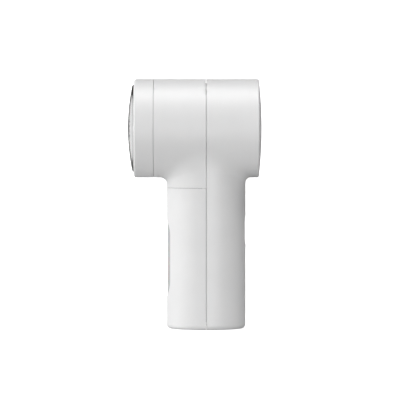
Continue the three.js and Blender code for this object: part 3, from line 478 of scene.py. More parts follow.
def grained(nodes, links, shader, scale, height, roughness):
    """A fine surface texture, as relief and as a change in gloss between two roughnesses."""
    noise = noise_over(nodes, links, scale, 6)
    bump = nodes.new("ShaderNodeBump")
    settings(bump, {"Strength": 0.35, "Distance": height * MM})
    spread = nodes.new("ShaderNodeMapRange")
    settings(spread, {"To Min": roughness[0], "To Max": roughness[1]})
    links.new(noise.outputs["Fac"], bump.inputs["Height"])
    links.new(noise.outputs["Fac"], spread.inputs["Value"])
    links.new(spread.outputs["Result"], shader.inputs["Roughness"])
    links.new(bump.outputs["Normal"], shader.inputs["Normal"])
    return bump


def moulded(name, light, dark, roughness, grain=9000, height=0.006, subsurface=0.0):
    """Moulded plastic: a nearly even colour under a very fine spark-eroded texture."""
    material, nodes, links, shader = new_material(name)
    mottled(nodes, links, shader, light, dark, 60)
    grained(nodes, links, shader, grain, height, roughness)
    shader.inputs["IOR"].default_value = 1.5
    if subsurface:
        settings(shader, {"Subsurface Weight": subsurface, "Subsurface Scale": 0.0012,
                          "Subsurface Radius": (1.0, 0.95, 0.9)})
    return material


def metallic(name, light, dark, roughness, grain=4000, height=0.002, stretch=None):
    """Metal, with fine scratches along one way where stretch says how much each axis is drawn out."""
    material, nodes, links, shader = new_material(name)
    shader.inputs["Metallic"].default_value = 1
    mottled(nodes, links, shader, light, dark, 180)
    bump = grained(nodes, links, shader, grain, height, roughness)
    if stretch:
        noise = bump.inputs["Height"].links[0].from_node
        place = noise.inputs["Vector"].links[0].from_node
        mapping = nodes.new("ShaderNodeMapping")
        mapping.inputs["Scale"].default_value = stretch
        links.new(place.outputs["Object"], mapping.inputs["Vector"])
        links.new(mapping.outputs["Vector"], noise.inputs["Vector"])
    return material


def grey(value):
    return (value, value, value)


def frosted_window():
    material, nodes, links, shader = new_material("frosted_window")
    mottled(nodes, links, shader, grey(0.5), grey(0.46), 90)
    grained(nodes, links, shader, 7000, 0.006, (0.28, 0.4))
    settings(shader, {"Subsurface Weight": 0.5, "Subsurface Scale": 0.002, "IOR": 1.58})
    return material


def felt():
    material, nodes, links, shader = new_material("felt")
    mottled(nodes, links, shader, (0.42, 0.38, 0.31), (0.24, 0.21, 0.17), 2500, 8)
    grained(nodes, links, shader, 6000, 0.08, (0.85, 1.0))
    shader.inputs["Sheen Weight"].default_value = 0.4
    return material


def circuit_board():
    """Green solder mask over a faint pattern of copper tracks."""
    material, nodes, links, shader = new_material("circuit_board")
    place = nodes.new("ShaderNodeTexCoord")
    tracks = nodes.new("ShaderNodeTexBrick")
    settings(tracks, {"Scale": 420, "Mortar Size": 0.03, "Color1": (0.012, 0.09, 0.045, 1),
                      "Color2": (0.015, 0.11, 0.055, 1), "Mortar": (0.03, 0.19, 0.09, 1)})
    links.new(place.outputs["Object"], tracks.inputs["Vector"])
    links.new(tracks.outputs["Color"], shader.inputs["Base Color"])
    grained(nodes, links, shader, 3000, 0.01, (0.22, 0.34))
    return material


def clear_lens():
    material, nodes, links, shader = new_material("clear_lens")
    mottled(nodes, links, shader, (0.82, 0.9, 0.84), (0.74, 0.84, 0.77), 400)
    grained(nodes, links, shader, 5000, 0.003, (0.08, 0.16))
    settings(shader, {"Subsurface Weight": 0.6, "Subsurface Scale": 0.001})
    return material


MATERIALS = {
    "white_shell": moulded("white_shell", grey(0.86), grey(0.84), (0.36, 0.46), subsurface=0.12),
    "grey_plastic": moulded("grey_plastic", (0.5, 0.51, 0.52), (0.46, 0.47, 0.48), (0.38, 0.5)),
    "frosted_window": frosted_window(),
    "black_plastic": moulded("black_plastic", grey(0.03), grey(0.022), (0.4, 0.55), grain=5000, height=0.01),
    "black_rubber": moulded("black_rubber", grey(0.02), grey(0.014), (0.7, 0.85), grain=4000, height=0.012),
    "felt": felt(),
    "battery_film": moulded("battery_film", (0.2, 0.3, 0.42), (0.17, 0.26, 0.37), (0.2, 0.35), grain=900,
                            height=0.03),
    "circuit_board": circuit_board(),
    "red_insulation": moulded("red_insulation", (0.5, 0.02, 0.015), (0.42, 0.015, 0.012), (0.35, 0.45)),
    "black_insulation": moulded("black_insulation", grey(0.018), grey(0.012), (0.35, 0.45)),
    "clear_lens": clear_lens(),
    "polished_steel": metallic("polished_steel", grey(0.74), grey(0.7), (0.07, 0.13), height=0.0006),
    "foil_steel": metallic("foil_steel", grey(0.76), grey(0.68), (0.1, 0.18), grain=3000),
    "spring_steel": metallic("spring_steel", grey(0.5), grey(0.42), (0.25, 0.38)),
    "zinc_steel": metallic("zinc_steel", (0.55, 0.57, 0.58), (0.45, 0.46, 0.46), (0.28, 0.42), grain=2500),
    "copper": metallic("copper", (0.72, 0.33, 0.16), (0.55, 0.22, 0.1), (0.25, 0.4), grain=6000, height=0.02,
                       stretch=(0.15, 1, 1)),
    "brass": metallic("brass", (0.62, 0.45, 0.2), (0.5, 0.35, 0.14), (0.25, 0.4)),
    "ferrite": moulded("ferrite", grey(0.05), grey(0.03), (0.5, 0.65), grain=3500, height=0.02),
}

# ---------- Outer shells ----------

COLUMN_PITCH = 1.5  # how far apart the shells' columns are on the head
QUARTER = HEAD_RADIUS * math.pi / 2  # arc from the head's lowest line up to the height of its axis
HALF_COLUMNS = 2 * round(QUARTER / COLUMN_PITCH)  # columns over half of the head's round
BLEND_ROWS = 14
LOWER_HEAD_ROWS = 10
BLEND = {"front": 3.9, "back": 2.6, "sides": 2.4, "corners": 4.4, "drop": 3.1}  # reach from the handle's wall


def blend_reach(angle, side):
    """How far the blend runs out from the handle's wall, at an angle from the X axis."""
    end = BLEND["front"] if side < 0 else BLEND["back"]
    corner = math.sin(2 * angle) ** 2
    plain = end * math.cos(angle) ** 2 + BLEND["sides"] * math.sin(angle) ** 2
    return plain * (1 - corner) + BLEND["corners"] * corner


def blend_curve(angle, side):
    """The blend's line in the upright plane at an angle: (distance from the handle's axis, height)."""
    across, along = math.sin(angle), abs(math.cos(angle))
    reach = blend_reach(angle, side)
    outer = HANDLE_RADIUS + reach
    rise = math.sqrt(HEAD_RADIUS**2 - (outer * across) ** 2)
    slope = outer * across**2 / rise
    drop = BLEND["drop"] * along + (1 - along) * math.hypot(reach, slope * reach)
    end = Vector((outer, HEAD_Z - rise))
    corner = Vector((HANDLE_RADIUS, HEAD_Z - rise - slope * reach))
    start = Vector((HANDLE_RADIUS, corner.y - drop))
    rows = []
    for k in range(BLEND_ROWS + 1):
        t = k / BLEND_ROWS
        # A cubic whose handles lie on the corner, a little rounder than a parabola.
        first, second = start.lerp(corner, 0.6), end.lerp(corner, 0.6)
        point = start * (1 - t) ** 3 + first * 3 * t * (1 - t) ** 2 + second * 3 * t**2 * (1 - t) + end * t**3
        rows.append((point.x, point.y))
    return rows


def seam_shift(x, side):
    """Moves points near the middle plane along X, so that the shell's edge stands half a seam from it."""
    fade = max(0.0, 1 - abs(x) / 4)
    return x + side * SEAM / 2 * fade


def head_edge_points(side, end_x):
    """Places on the edge of the flattened lower head as (x, arc), from one side of the seam to the other."""
    along = round(abs(end_x) / COLUMN_PITCH)
    first = [(end_x * i / along, QUARTER) for i in range(along)]
    across = [(end_x, QUARTER - 2 * QUARTER * i / HALF_COLUMNS) for i in range(HALF_COLUMNS)]
    last = [(end_x * (1 - i / along), -QUARTER) for i in range(along + 1)]
    return first + across + last


def on_head(x, around):
    """A place on the head's wall from x and the arc length from its lowest line."""
    angle = around / HEAD_RADIUS
    return (x, HEAD_RADIUS * math.sin(angle), HEAD_Z - HEAD_RADIUS * math.cos(angle))


def shell_sheet(side, end_x, handle_rows):
    """The outside of one housing half without its end: the handle's wall, the blend and the whole head.

    handle_rows(angle, z) gives the rows of points from the shell's bottom up to the blend's start at z."""
    columns = []
    for x, around in head_edge_points(side, end_x):
        angle = math.atan2(around, x)
        curve = blend_curve(angle, side)
        c, s = math.cos(angle), math.sin(angle)
        column = [*handle_rows(angle, curve[0][1]), *[(r * c, r * s, z) for r, z in curve]]
        reach_x = curve[-1][0] * c
        reach_arc = HEAD_RADIUS * math.asin(curve[-1][0] * s / HEAD_RADIUS)
        for k in range(1, LOWER_HEAD_ROWS + 1):
            t = k / LOWER_HEAD_ROWS
            column.append(on_head(reach_x + (x - reach_x) * t, reach_arc + (around - reach_arc) * t))
        columns.append([(seam_shift(px, side), py, pz) for px, py, pz in column])
    along = round(abs(end_x) / COLUMN_PITCH)
    arcs = [QUARTER + 2 * QUARTER * k / HALF_COLUMNS for k in range(HALF_COLUMNS + 1)]
    upper = []
    for i in range(along + 1):
        x = seam_shift(end_x * i / along, side)
        upper.append([on_head(x, around) for around in arcs])
    return welded(sheet(columns) + sheet(upper), 1e-4)


def outward(obj, centre):
    """Turns an open sheet's faces so that they look away from a point inside it."""
    mesh = obj.data
    inside = Vector(((centre[0] + HANDLE_X) * MM, centre[1] * MM, centre[2] * MM))
    facing = sum((p.center - inside).dot(p.normal) * p.area for p in mesh.polygons)
    if facing < 0:
        mesh.flip_normals()
    return obj


def screw_place(angle):
    """Where one of the chamber's screws stands, as (y, z)."""
    turn = math.radians(angle)
    return SCREW_CIRCLE * math.cos(turn), HEAD_Z + SCREW_CIRCLE * math.sin(turn)


def neck_rows(angle, top):
    rows = 6
    c, s = math.cos(angle) * HANDLE_RADIUS, math.sin(angle) * HANDLE_RADIUS
    return [(c, s, NECK_BOTTOM + (top - NECK_BOTTOM) * k / rows) for k in range(rows)]


def front_housing():
    """The front shell, with the floor that closes its neck round the chute."""
    obj = outward(to_object(shell_sheet(-1, HOUSING_FRONT, neck_rows)), (-10, 0, HEAD_Z))
    thicken(obj, WALL)
    floor_top = NECK_BOTTOM + 1.6
    inner = HANDLE_RADIUS - 0.9
    turns = np.linspace(math.pi / 2 + 0.02, 1.5 * math.pi - 0.02, 60)
    outline = [(inner * math.cos(a) - SEAM / 2, inner * math.sin(a)) for a in turns]
    plate = slab(outline, "z", NECK_BOTTOM, floor_top)
    mouth_half = CHUTE_HALF + 0.4
    mouth = box(-15.6, -2.8, -mouth_half, mouth_half, NECK_BOTTOM - 1, floor_top + 1)
    join(obj, cut(to_object(plate), mouth))
    # The lip that centres the rear shell: it is rooted in this shell's wall and stands clear of the other's.
    bore, rooted, clear = 21.5, HEAD_RADIUS - WALL + 0.2, HEAD_RADIUS - WALL - 0.3
    lip = [(-3, bore), (-3, rooted), (-0.6, rooted), (-0.6, clear), (2.2, clear), (2.2, bore)]
    shelf = box(-16, -12, -2.6, 2.6, span("interlock_switch", "z")[1] + 0.3, HEAD_Z + HEAD_RADIUS - 1)
    join(obj, part_turn_x(lip, -36, 216), shelf)
    for side in (-1, 1):
        # A root in the wall, and a tongue on it that stands behind the upright seam of the neck.
        join(obj, side_box(side, -1.5, -0.4, 16.95, 18.6, floor_top, 84),
             side_box(side, -1.5, 0.45, 16.95, 17.5, NECK_BOTTOM + 0.1, 86.5))
    front, back = span("blade_chamber", "x")[1] + 0.3, -10
    for angle in SCREW_ANGLES:
        place = screw_place(angle)
        web = box(front, back, -0.8, 0.8, HEAD_Z + SCREW_CIRCLE + 1, HEAD_Z + HEAD_RADIUS - 1)
        join(obj, rod_x(front, back, 2.4, *place), web.turned_x(angle - 90))
        cut(obj, rod_x(front - 1, back + 1, PILOT_RADIUS, *place, 24))
    return piece(round_edges(obj, SEAM_EDGE), "front_housing")


def base_rows(angle, top):
    """The handle's back half from the seam line of the base, out over the base and up the wall."""
    c, s = math.cos(angle), math.sin(angle)
    flat = HANDLE_RADIUS - BASE_FILLET
    rows = [(flat * c * k / 8, flat * s, 0.0) for k in range(8)]
    for r, z in arc((flat, BASE_FILLET), BASE_FILLET, -90, 0, 8):
        rows.append((r * c, r * s, z))
    upright = 40
    rows += [(HANDLE_RADIUS * c, HANDLE_RADIUS * s, BASE_FILLET + (top - BASE_FILLET) * k / upright)
             for k in range(1, upright)]
    return rows


def rear_housing():
    """The rear shell with the head's domed end and the handle's base, open at the button, lens and port."""
    fillet_centre = HEAD_RADIUS - BACK_FILLET
    end_x = BACK_TIP - sag(BACK_SPHERE, fillet_centre) - BACK_FILLET
    body = shell_sheet(1, end_x, base_rows)
    profile = arc((end_x, fillet_centre), BACK_FILLET, 90, 0, 8)
    radii = np.linspace(fillet_centre, 0, 14)[1:]
    profile += [(BACK_TIP - sag(BACK_SPHERE, r), r) for r in radii]
    angles = [2 * math.pi * i / (2 * HALF_COLUMNS) for i in range(2 * HALF_COLUMNS + 1)]
    end = sheet([[(x, r * math.sin(a), HEAD_Z - r * math.cos(a)) for a in angles] for x, r in profile])
    obj = outward(to_object(welded(body + end, 1e-4)), (8, 0, HEAD_Z))
    thicken(obj, WALL)
    button = loft([on_handle(pill(10, 18, BUTTON_Z), r, 1) for r in (15, 22)])
    slot = slab([(PORT_X + x, y) for x, y in pill(3.9, 9.7, 0)], "z", -1, 4)
    for angle in (90, 210, 330):  # ribs round the motor's damper
        rib = box(3, 6, -0.8, 0.8, HEAD_Z + 14.9, HEAD_Z + HEAD_RADIUS - 1)
        join(obj, rib.turned_x(angle - 90))
    for number in SCREWS:
        y, z = middle(f"chassis_screw_{number}", "y"), middle(f"chassis_screw_{number}", "z")
        within = revolve_z([(0, 0), (0, HANDLE_RADIUS - 0.6), (80, HANDLE_RADIUS - 0.6), (80, 0)], 96)
        boss = combine(to_object(rod_x(2.7, 14, 2.3, y, z)), [within], "INTERSECT")
        join(obj, boss)
        cut(obj, rod_x(2, 10.5, PILOT_RADIUS, y, z, 24))
    cut(obj, button, rod_x(14, 24, 1.25, 0, LENS_Z), slot)
    return piece(round_edges(obj, SEAM_EDGE), "rear_housing")


def handle_loop(radius, flat_x, z, steps=72):
    """A D-shaped loop: the front of an upright cylinder, closed by a flat back at flat_x."""
    half = math.acos(flat_x / radius)
    turns = np.linspace(half, 2 * math.pi - half, steps)
    arc_points = [(radius * math.cos(a), radius * math.sin(a), z) for a in turns]
    (x0, y0, _), (x1, y1, _) = arc_points[-1], arc_points[0]
    back = [(flat_x, y0 + (y1 - y0) * t, z) for t in np.linspace(0, 1, 24)[1:-1]]
    return arc_points + back


def window_outline(grown=0, inset=0.0):
    """The outline of the bin's window, made larger across by an amount or drawn in from its edge."""
    width, height = 2 * WINDOW_HALF_WIDTH + grown, WINDOW_HIGH - WINDOW_LOW + grown
    return pill(width, height, (WINDOW_LOW + WINDOW_HIGH) / 2, inset=inset)


def lint_bin():
    """The cup of the bin with the recess that its window sits in."""
    inside = HANDLE_RADIUS - BIN_WALL
    loops = [handle_loop(r, -SEAM / 2, z)
             for r, z in arc((HANDLE_RADIUS - BASE_FILLET, BASE_FILLET), BASE_FILLET, -90, 0, 8)]
    loops += [handle_loop(HANDLE_RADIUS, -SEAM / 2, z) for z in np.linspace(BASE_FILLET, BIN_TOP, 40)[1:]]
    loops += [handle_loop(inside, -BIN_WALL, z) for z in np.linspace(BIN_TOP, 3.2, 12)]
    loops += [handle_loop(r, -BIN_WALL, z) for r, z in arc((inside - 1.2, 3.2), 1.2, 0, -90, 4)[1:]]
    obj = to_object(loft(loops))
    recess = loft([on_handle(window_outline(0.6), r, -1) for r in (HANDLE_RADIUS - 0.9, 21)])
    hole = loft([on_handle(window_outline(0.6, 1.25), r, -1) for r in (15.5, 21)])
    ledge = cut(
        to_object(loft([handle_loop(inside + 0.4, -BIN_WALL + 0.4, z) for z in (67.2, 68.1)])),
        loft([handle_loop(inside - 1.1, -BIN_WALL - 1.1, z) for z in (66, 69)]),
    )
    join(obj, ledge)
    cut(obj, recess, hole)
    return piece(round_edges(obj, SEAM_EDGE), "lint_bin")


def bin_window():
    """The frosted window: a face in the recess and a plug through the wall, with rounded edges."""
    face, back, plug = HANDLE_RADIUS - 0.4, HANDLE_RADIUS - 0.75, 18.1
    middle_inset = 7.3  # where the outline has nearly closed to a line
    path = [
        *[(inset, plug) for inset in (middle_inset, 5, 1.5)],
        (1.3, plug + 0.1), (1.3, back), (0.1, back), (0, back + 0.08), (0, face - 0.12), (0.04, face - 0.04),
        *[(inset, face) for inset in (0.14, 1, 2.5, 5, middle_inset)],
    ]
    loops = [on_handle(window_outline(inset=inset), r, -1) for inset, r in path]
    return piece(loft(loops), "bin_window")


def bin_seal():
    z0, z1 = span("bin_seal", "z")
    outer = HANDLE_RADIUS - BIN_WALL - 0.3
    flat = -BIN_WALL - 0.3
    section = soften([(0, z0), (0, z1), (1.2, z1), (1.2, z0)], 0.35, 3)
    loops = [handle_loop(outer - inset, flat - inset, z) for inset, z in section]
    return piece(ring_closed(loops), "bin_seal")


# ---------- Head ----------

LUG_X = -30.6  # middle of the collar's lugs
THREAD_LEAD = 36  # how far the quick thread moves the collar in a full turn
SPIGOT_RADIUS = 21.7  # the chamber's, which the collar goes over


def collar_ring():
    """The collar, rounded in front, with three lugs inside for the quick thread."""
    lip_bore = 22
    lip_back = COLLAR_FRONT + 0.8
    bore = 22.9
    back = HOUSING_FRONT - FINE_SEAM
    profile = [
        (back, bore),
        (back, HEAD_RADIUS - SEAM_EDGE),
        (back - 0.05, HEAD_RADIUS - 0.05),
        (back - SEAM_EDGE, HEAD_RADIUS),
        (COLLAR_BACK - 3, HEAD_RADIUS),
        (COLLAR_BACK - 6, HEAD_RADIUS),
        *arc((COLLAR_FRONT + COLLAR_FILLET, HEAD_RADIUS - COLLAR_FILLET), COLLAR_FILLET, 90, 180, 8),
        (COLLAR_FRONT, lip_bore + 0.12),
        (COLLAR_FRONT + 0.12, lip_bore),
        (lip_back, lip_bore),
        (lip_back, bore),
        (-33, bore),
    ]
    obj = to_object(revolve_x(profile))
    lug = helix_bar(-6, 6, SPIGOT_RADIUS - 0.7, bore + 0.6, 1, LUG_X, THREAD_LEAD)
    join(obj, *[lug.turned_x(120 * i) for i in range(3)])
    return piece(obj, "collar_ring")


def foil_bezel():
    """The polished ring round the foil: it follows the dome, then rolls over to its outer wall."""
    bore, radius, pocket = 17.4, 21.8, 20.7
    flange_front, flange_back, flange_radius = -34.8, -33.7, 22.6
    roll = 1.3
    front = [(dome_at(r), r) for r in np.linspace(bore + 0.12, radius - roll, 12)]
    turn_x = dome_at(radius - roll) + roll
    profile = [
        (dome_at(bore) + 0.12, bore),
        *front,
        *arc((turn_x, radius - roll), roll, 170, 90, 12)[1:],
        (flange_front, radius),
        (flange_front, flange_radius),
        (flange_back, flange_radius),
        (flange_back, pocket),
        (-35.3, pocket),
        (dome_at(pocket) + 1.1, pocket - 0.6),
        (dome_at(bore) + 0.8, bore),
    ]
    return piece(revolve_x(profile, 192), "foil_bezel", sharp=35)


def hole_centres():
    """Places of the foil's holes: rows along Z, each set off by half a pitch from the last."""
    across = HOLE_PITCH * math.sqrt(3) / 2
    reach = range(-8, 9)
    places = [(i * across, (j + (i % 2) / 2) * HOLE_PITCH) for i in reach for j in reach]
    return [(y, z) for y, z in places if math.hypot(y, z) < PERFORATED_RADIUS - HOLE_RADIUS + 0.3]


def foil():
    """The domed foil as a thin sheet with its holes cut through, drawn back into a flat flange."""
    sides = 14
    rim = 96
    flat, edges = [], []

    def circle(y, z, radius, count, turn=0.0):
        first = len(flat)
        for k in range(count):
            a = turn + 2 * math.pi * k / count
            flat.append(Vector((y + radius * math.cos(a), z + radius * math.sin(a))))
        edges.extend((first + k, first + (k + 1) % count) for k in range(count))

    circle(0, 0, FOIL_RADIUS, rim)
    centres = hole_centres()
    for y, z in centres:
        circle(y, z, HOLE_RADIUS, sides)
    inside_rim = 16.45  # a round of loose points that keeps the triangles small outside the holes
    flat += [Vector((inside_rim * math.cos(a), inside_rim * math.sin(a))) for a in full_turn(rim)]
    points, _, triangles, *_ = delaunay_2d_cdt(flat, edges, [], 0, 1e-6)
    spots = np.array(centres)
    kept = []
    for triangle in triangles:
        middle = sum((points[i] for i in triangle), Vector((0, 0))) / 3
        if np.hypot(*(spots - np.array(middle)).T).min() > HOLE_RADIUS * 0.97:
            kept.append(triangle)
    face = Shape([(dome_at(p.length), p.x, HEAD_Z + p.y) for p in points], kept)
    angles = [2 * math.pi * k / rim for k in range(rim + 1)]
    flange = [(dome_at(FOIL_RADIUS), FOIL_RADIUS), (-37.2, FOIL_RADIUS + 0.06), (-36.2, FOIL_RADIUS + 0.08),
              (-35.75, FOIL_RADIUS + 0.1), (-35.65, FOIL_RADIUS + 0.5), (-35.65, 20.4)]
    skirt = sheet([[(x, r * math.cos(a), HEAD_Z + r * math.sin(a)) for a in angles] for x, r in flange])
    obj = outward(to_object(welded(face + skirt, 1e-3)), (0, 0, HEAD_Z))
    return piece(thicken(obj, FOIL_SHEET), "foil", sharp=40)


def foil_clamp():
    x0, x1 = span("foil_clamp", "x")
    return piece(revolve_x(soften([(x0, 17.6), (x0, 20.4), (x1, 20.4), (x1, 17.6)])), "foil_clamp")


def blade_chamber():
    """The cup behind the foil, with the collar's helical grooves and the window into the chute."""
    front, back = span("blade_chamber", "x")
    wall = -22.0
    seat_x, seat_radius, bore = -27.2, 22.3, 19.9
    profile = soften([
        (front, bore), (front, SPIGOT_RADIUS), (seat_x, SPIGOT_RADIUS), (seat_x, seat_radius),
        (back, seat_radius), (back, 3), (wall, 3), (wall, bore),
    ], 0.25)
    obj = to_object(revolve_x(profile))
    join(obj, rod_x(front + 0.05, back - 0.05, 2.2, 0, HEAD_Z + PIN_RISE))
    groove = helix_bar(-7.5, 60, SPIGOT_RADIUS - 1, SPIGOT_RADIUS + 0.6, 1.35, LUG_X, THREAD_LEAD)
    mouth = CHUTE_HALF - 1.2
    cuts = [groove.turned_x(120 * i) for i in range(3)]
    cuts += [rod_x(-50, 0, 1.15, 0, HEAD_Z + PIN_RISE), box(-25, -15, -mouth, mouth, 79.8, 85.8)]
    cuts += [rod_x(-25, -15, 1.2, *screw_place(angle), 24) for angle in SCREW_ANGLES]
    cuts += [rod_x(-25, -15, 1.2, side * 8, HEAD_Z, 24) for side in (-1, 1)]
    return piece(cut(obj, *cuts), "blade_chamber", sharp=40)


def chamber_o_ring():
    x0, x1 = span("chamber_o_ring", "x")
    radius = (x1 - x0) / 2
    section = arc(((x0 + x1) / 2, 22.25), radius, 0, 330, 11)
    return piece(revolve_x(section), "chamber_o_ring")


def cutter_disc():
    """The carrier disc: slots for the blades in front, and vanes behind that sweep lint to the chute."""
    front, back, radius = -35.6, -33.6, 15.8
    tip, tail, boss = -37.4, -30.8, 6.6
    profile = [(tip, 0), (tip, 3.4), (-37.15, 4.1), (-36.6, 4.6), (front, 4.8), (front, radius - 0.3),
               (front + 0.3, radius), (back - 0.3, radius), (back, radius - 0.3), (back, boss + 0.3),
               (back + 0.3, boss), (tail, boss), (tail, 0)]
    obj = to_object(revolve_x(profile, 120))
    cuts = [rod_x(-35.8, -29, 4.9, 0, HEAD_Z, 6)]
    vanes = []
    for i in range(BLADES):
        angle = 360 / BLADES * i
        cuts.append(box(-40, -34.2, -0.45, 0.45, HEAD_Z + 5.2, HEAD_Z + 17).turned_x(angle))
        vanes.append(box(back - 0.5, -31.4, -0.5, 0.5, HEAD_Z + 7, HEAD_Z + 15).turned_x(angle + 36))
        # Holes that lighten the disc, between the blades.
        cuts += [rod_x(-40, -30, 2.2, 0, HEAD_Z + 11, 32).turned_x(angle + side * 18) for side in (1, -1)]
    join(obj, *vanes)
    return piece(round_edges(cut(obj, *cuts), 0.12), "cutter_disc")


def cutter_blade(number):
    """One blade, ground to an edge just behind the foil."""
    inner, outer, half = 5.6, 15.4, 0.25
    gap = 0.65
    radii = np.linspace(inner, outer, 12)
    front = [(dome_at(r) + gap, r) for r in radii]
    outline = [*front, (-34.5, outer), (-34.5, inner)]
    land = [(x + (0.35 if i < len(front) else 0), r) for i, (x, r) in enumerate(outline)]
    loops = [
        [(x, -half, HEAD_Z + r) for x, r in land],
        [(x, half - 0.06, HEAD_Z + r) for x, r in outline],
        [(x, half, HEAD_Z + r) for x, r in land],
    ]
    return piece(loft(loops).turned_x(360 / BLADES * (number - 1)), f"cutter_blade_{number}", sharp=20)


def cutter_spring():
    x0, x1 = span("cutter_spring", "x")
    wire, radius, turns = 0.3, 5.45, 2.25
    steps = 90
    line = []
    for i in range(steps + 1):
        a = 2 * math.pi * turns * i / steps
        x = x0 + wire + (x1 - x0 - 2 * wire) * i / steps
        line.append((x, radius * math.cos(a), HEAD_Z + radius * math.sin(a)))
    return piece(sweep(line, wire), "cutter_spring")


def interlock_pin():
    x0, x1 = span("interlock_pin", "x")
    radius, collar, collar_x0, collar_x1 = 0.9, 1.6, -18.4, -17.6
    stem = [(x0, 0), (x0, radius), (collar_x0, radius), (collar_x0, collar), (collar_x1, collar),
            (collar_x1, radius), (x1, radius), (x1, 0)]
    profile = soften(stem, 0.3, 3, closed=False)
    return piece(revolve_x(profile, SMALL_ROUND, 0, HEAD_Z + PIN_RISE), "interlock_pin")


def screw(node):
    """A pan-head screw in place of a plain one, with a cross recess and a thread of rings."""
    x0, x1 = span(node, "x")
    y, z = middle(node, "y"), middle(node, "z")
    head, shank = 0.9, 0.86
    under = x0 + head
    profile = [(x0, 0), (x0, 1.2), (x0 + 0.12, 1.6), (x0 + 0.4, 1.85), (under - 0.1, 1.9), (under, 1.85)]
    pitch = 0.7
    turns = int((x1 - under - 1) / pitch)
    for i in range(turns):
        start = under + 0.3 + pitch * i
        profile += [(start, shank * 0.78), (start + pitch * 0.35, shank), (start + pitch * 0.5, shank)]
    profile += [(x1 - 0.5, shank * 0.7), (x1, 0)]
    obj = to_object(revolve_x(profile, 32, y, z))
    arms = [box(x0 - 1, x0 + 0.55, y - a, y + a, z - b, z + b) for a, b in ((1.1, 0.22), (0.22, 1.1))]
    return piece(cut(obj, *arms), node, sharp=30)


# ---------- Handle ----------


def power_button():
    """The button's cap, slightly dished, on the flange that keeps it in."""
    width, height = 9.4, 17.4
    flange_out, flange_in = HANDLE_RADIUS - WALL - 0.4, HANDLE_RADIUS - WALL - 1.4
    grow = -1.8
    path = [(3.6, flange_in), (1, flange_in), (grow, flange_in), (grow, flange_out), (0, flange_out),
            *[(inset, BUTTON_OUT - drop) for inset, drop in
              ((0, 0.22), (0.08, 0.07), (0.26, 0), (0.9, 0.02), (2, 0.2), (3.2, 0.32), (4.4, 0.36))]]
    loops = [on_handle(pill(width, height, BUTTON_Z, inset=inset), r, 1) for inset, r in path]
    post = rod_x(16.2, 17, 1.6, 0, BUTTON_Z)
    return piece(join(to_object(loft(loops)), post), "power_button")


def led_lens():
    x0, _ = span("led_lens", "x")
    tip = HANDLE_RADIUS
    profile = [(x0, 0), (x0, 1.7), (x0 + 1.3, 1.7), (x0 + 1.3, 1), (tip - 0.3, 1), (tip - 0.12, 0.85),
               (tip - 0.03, 0.5), (tip, 0)]
    return piece(revolve_x(profile, SMALL_ROUND, 0, LENS_Z), "led_lens")


def usb_receptacle():
    """The port's drawn shell with its tongue."""
    z0, z1 = span("usb_receptacle", "z")
    thickness, width = 3.2, 9.0
    section = [(0.1, z0), (0, z0 + 0.12), (0, z1), (1.2, z1), (1.2, z1 - 1), (0.35, z1 - 1), (0.35, z0 + 0.1),
               (0.28, z0)]
    loops = [[(PORT_X + x, y, z) for x, y in pill(thickness, width, 0, inset)] for inset, z in section]
    tongue = box(PORT_X - 0.35, PORT_X + 0.35, -3.3, 3.3, z0 + 1, z1 - 0.9)
    return piece(ring_closed(loops) + tongue, "usb_receptacle", sharp=40)


def rounded_rectangle(half_width, low, high, corner, steps):
    """An outline of (y, z) points, even about the middle plane, with rounded corners."""
    side, top, bottom = half_width - corner, high - corner, low + corner
    points = []
    for i, centre in enumerate(((side, top), (-side, top), (-side, bottom), (side, bottom))):
        points += arc(centre, corner, 90 * i, 90 * i + 90, steps)
    return points


def handle_chassis():
    """The plate behind the bin, with screw seats, ribs round the cell and a rib behind each upright seam."""
    x0, back = span("handle_chassis", "x")
    plate_back = 2.4
    y1 = span("handle_chassis", "y")[1]
    z0, z1 = span("handle_chassis", "z")
    obj = to_object(slab(rounded_rectangle(y1, z0, z1, 3, 8), "x", x0, plate_back))
    panel = rounded_rectangle(11, 12, 60, 2, 6)
    cuts = [slab(panel, "x", x0 - 1, x0 + 0.5)]
    extra = []
    cell_half = span("battery_pack", "y")[1]
    cell_low, cell_high = span("battery_pack", "z")
    for side in (-1, 1):
        extra += [
            side_box(side, plate_back - 0.5, 9, cell_half + 0.4, cell_half + 1.4,
                     cell_low - 0.9, cell_high + 0.9),
            # An upright rib behind the edge of the bin's flat back, which it stands a hair clear of.
            side_box(side, LIP_FRONT, x0 + 0.4, 15.9, 16.8, z0 - 0.35, NECK_BOTTOM - 0.2),
            *[side_box(side, plate_back - 0.5, back, 6, cell_half + 1.4, z, z + 1)
              for z in (cell_low - 1.3, cell_high + 0.3)],
        ]
    for number in SCREWS:
        y, z = middle(f"chassis_screw_{number}", "y"), middle(f"chassis_screw_{number}", "z")
        cuts += [rod_x(x0 - 1, 4, 1.2, y, z, 32), rod_x(x0 - 1, x0 + 1, 2.2, y, z)]
    join(obj, *extra)
    return piece(round_edges(cut(obj, *cuts), 0.15), "handle_chassis")


def lint_chute():
    """The elbow that leads lint from the chamber down into the bin."""
    outside = [(-19.9, 78.6), (-15.2, 78.6), (-15.2, 70.5), (-3.2, 70.5), (-3.2, 78.5), (-10, 85.5),
               (-19.9, 87)]
    inside = [(-21, 79.8), (-14, 79.8), (-14, 69), (-4.4, 69), (-4.4, 78), (-10.5, 84.3), (-21, 85.8)]
    bore = CHUTE_HALF - 1.2
    obj = to_object(slab(soften(outside, 1.2, 4), "y", -CHUTE_HALF, CHUTE_HALF))
    cut(obj, slab(soften(inside, 1.0, 4), "y", -bore, bore))
    return piece(round_edges(obj, 0.15), "lint_chute")


# ---------- CAD nodes that stay, with finer edges ----------


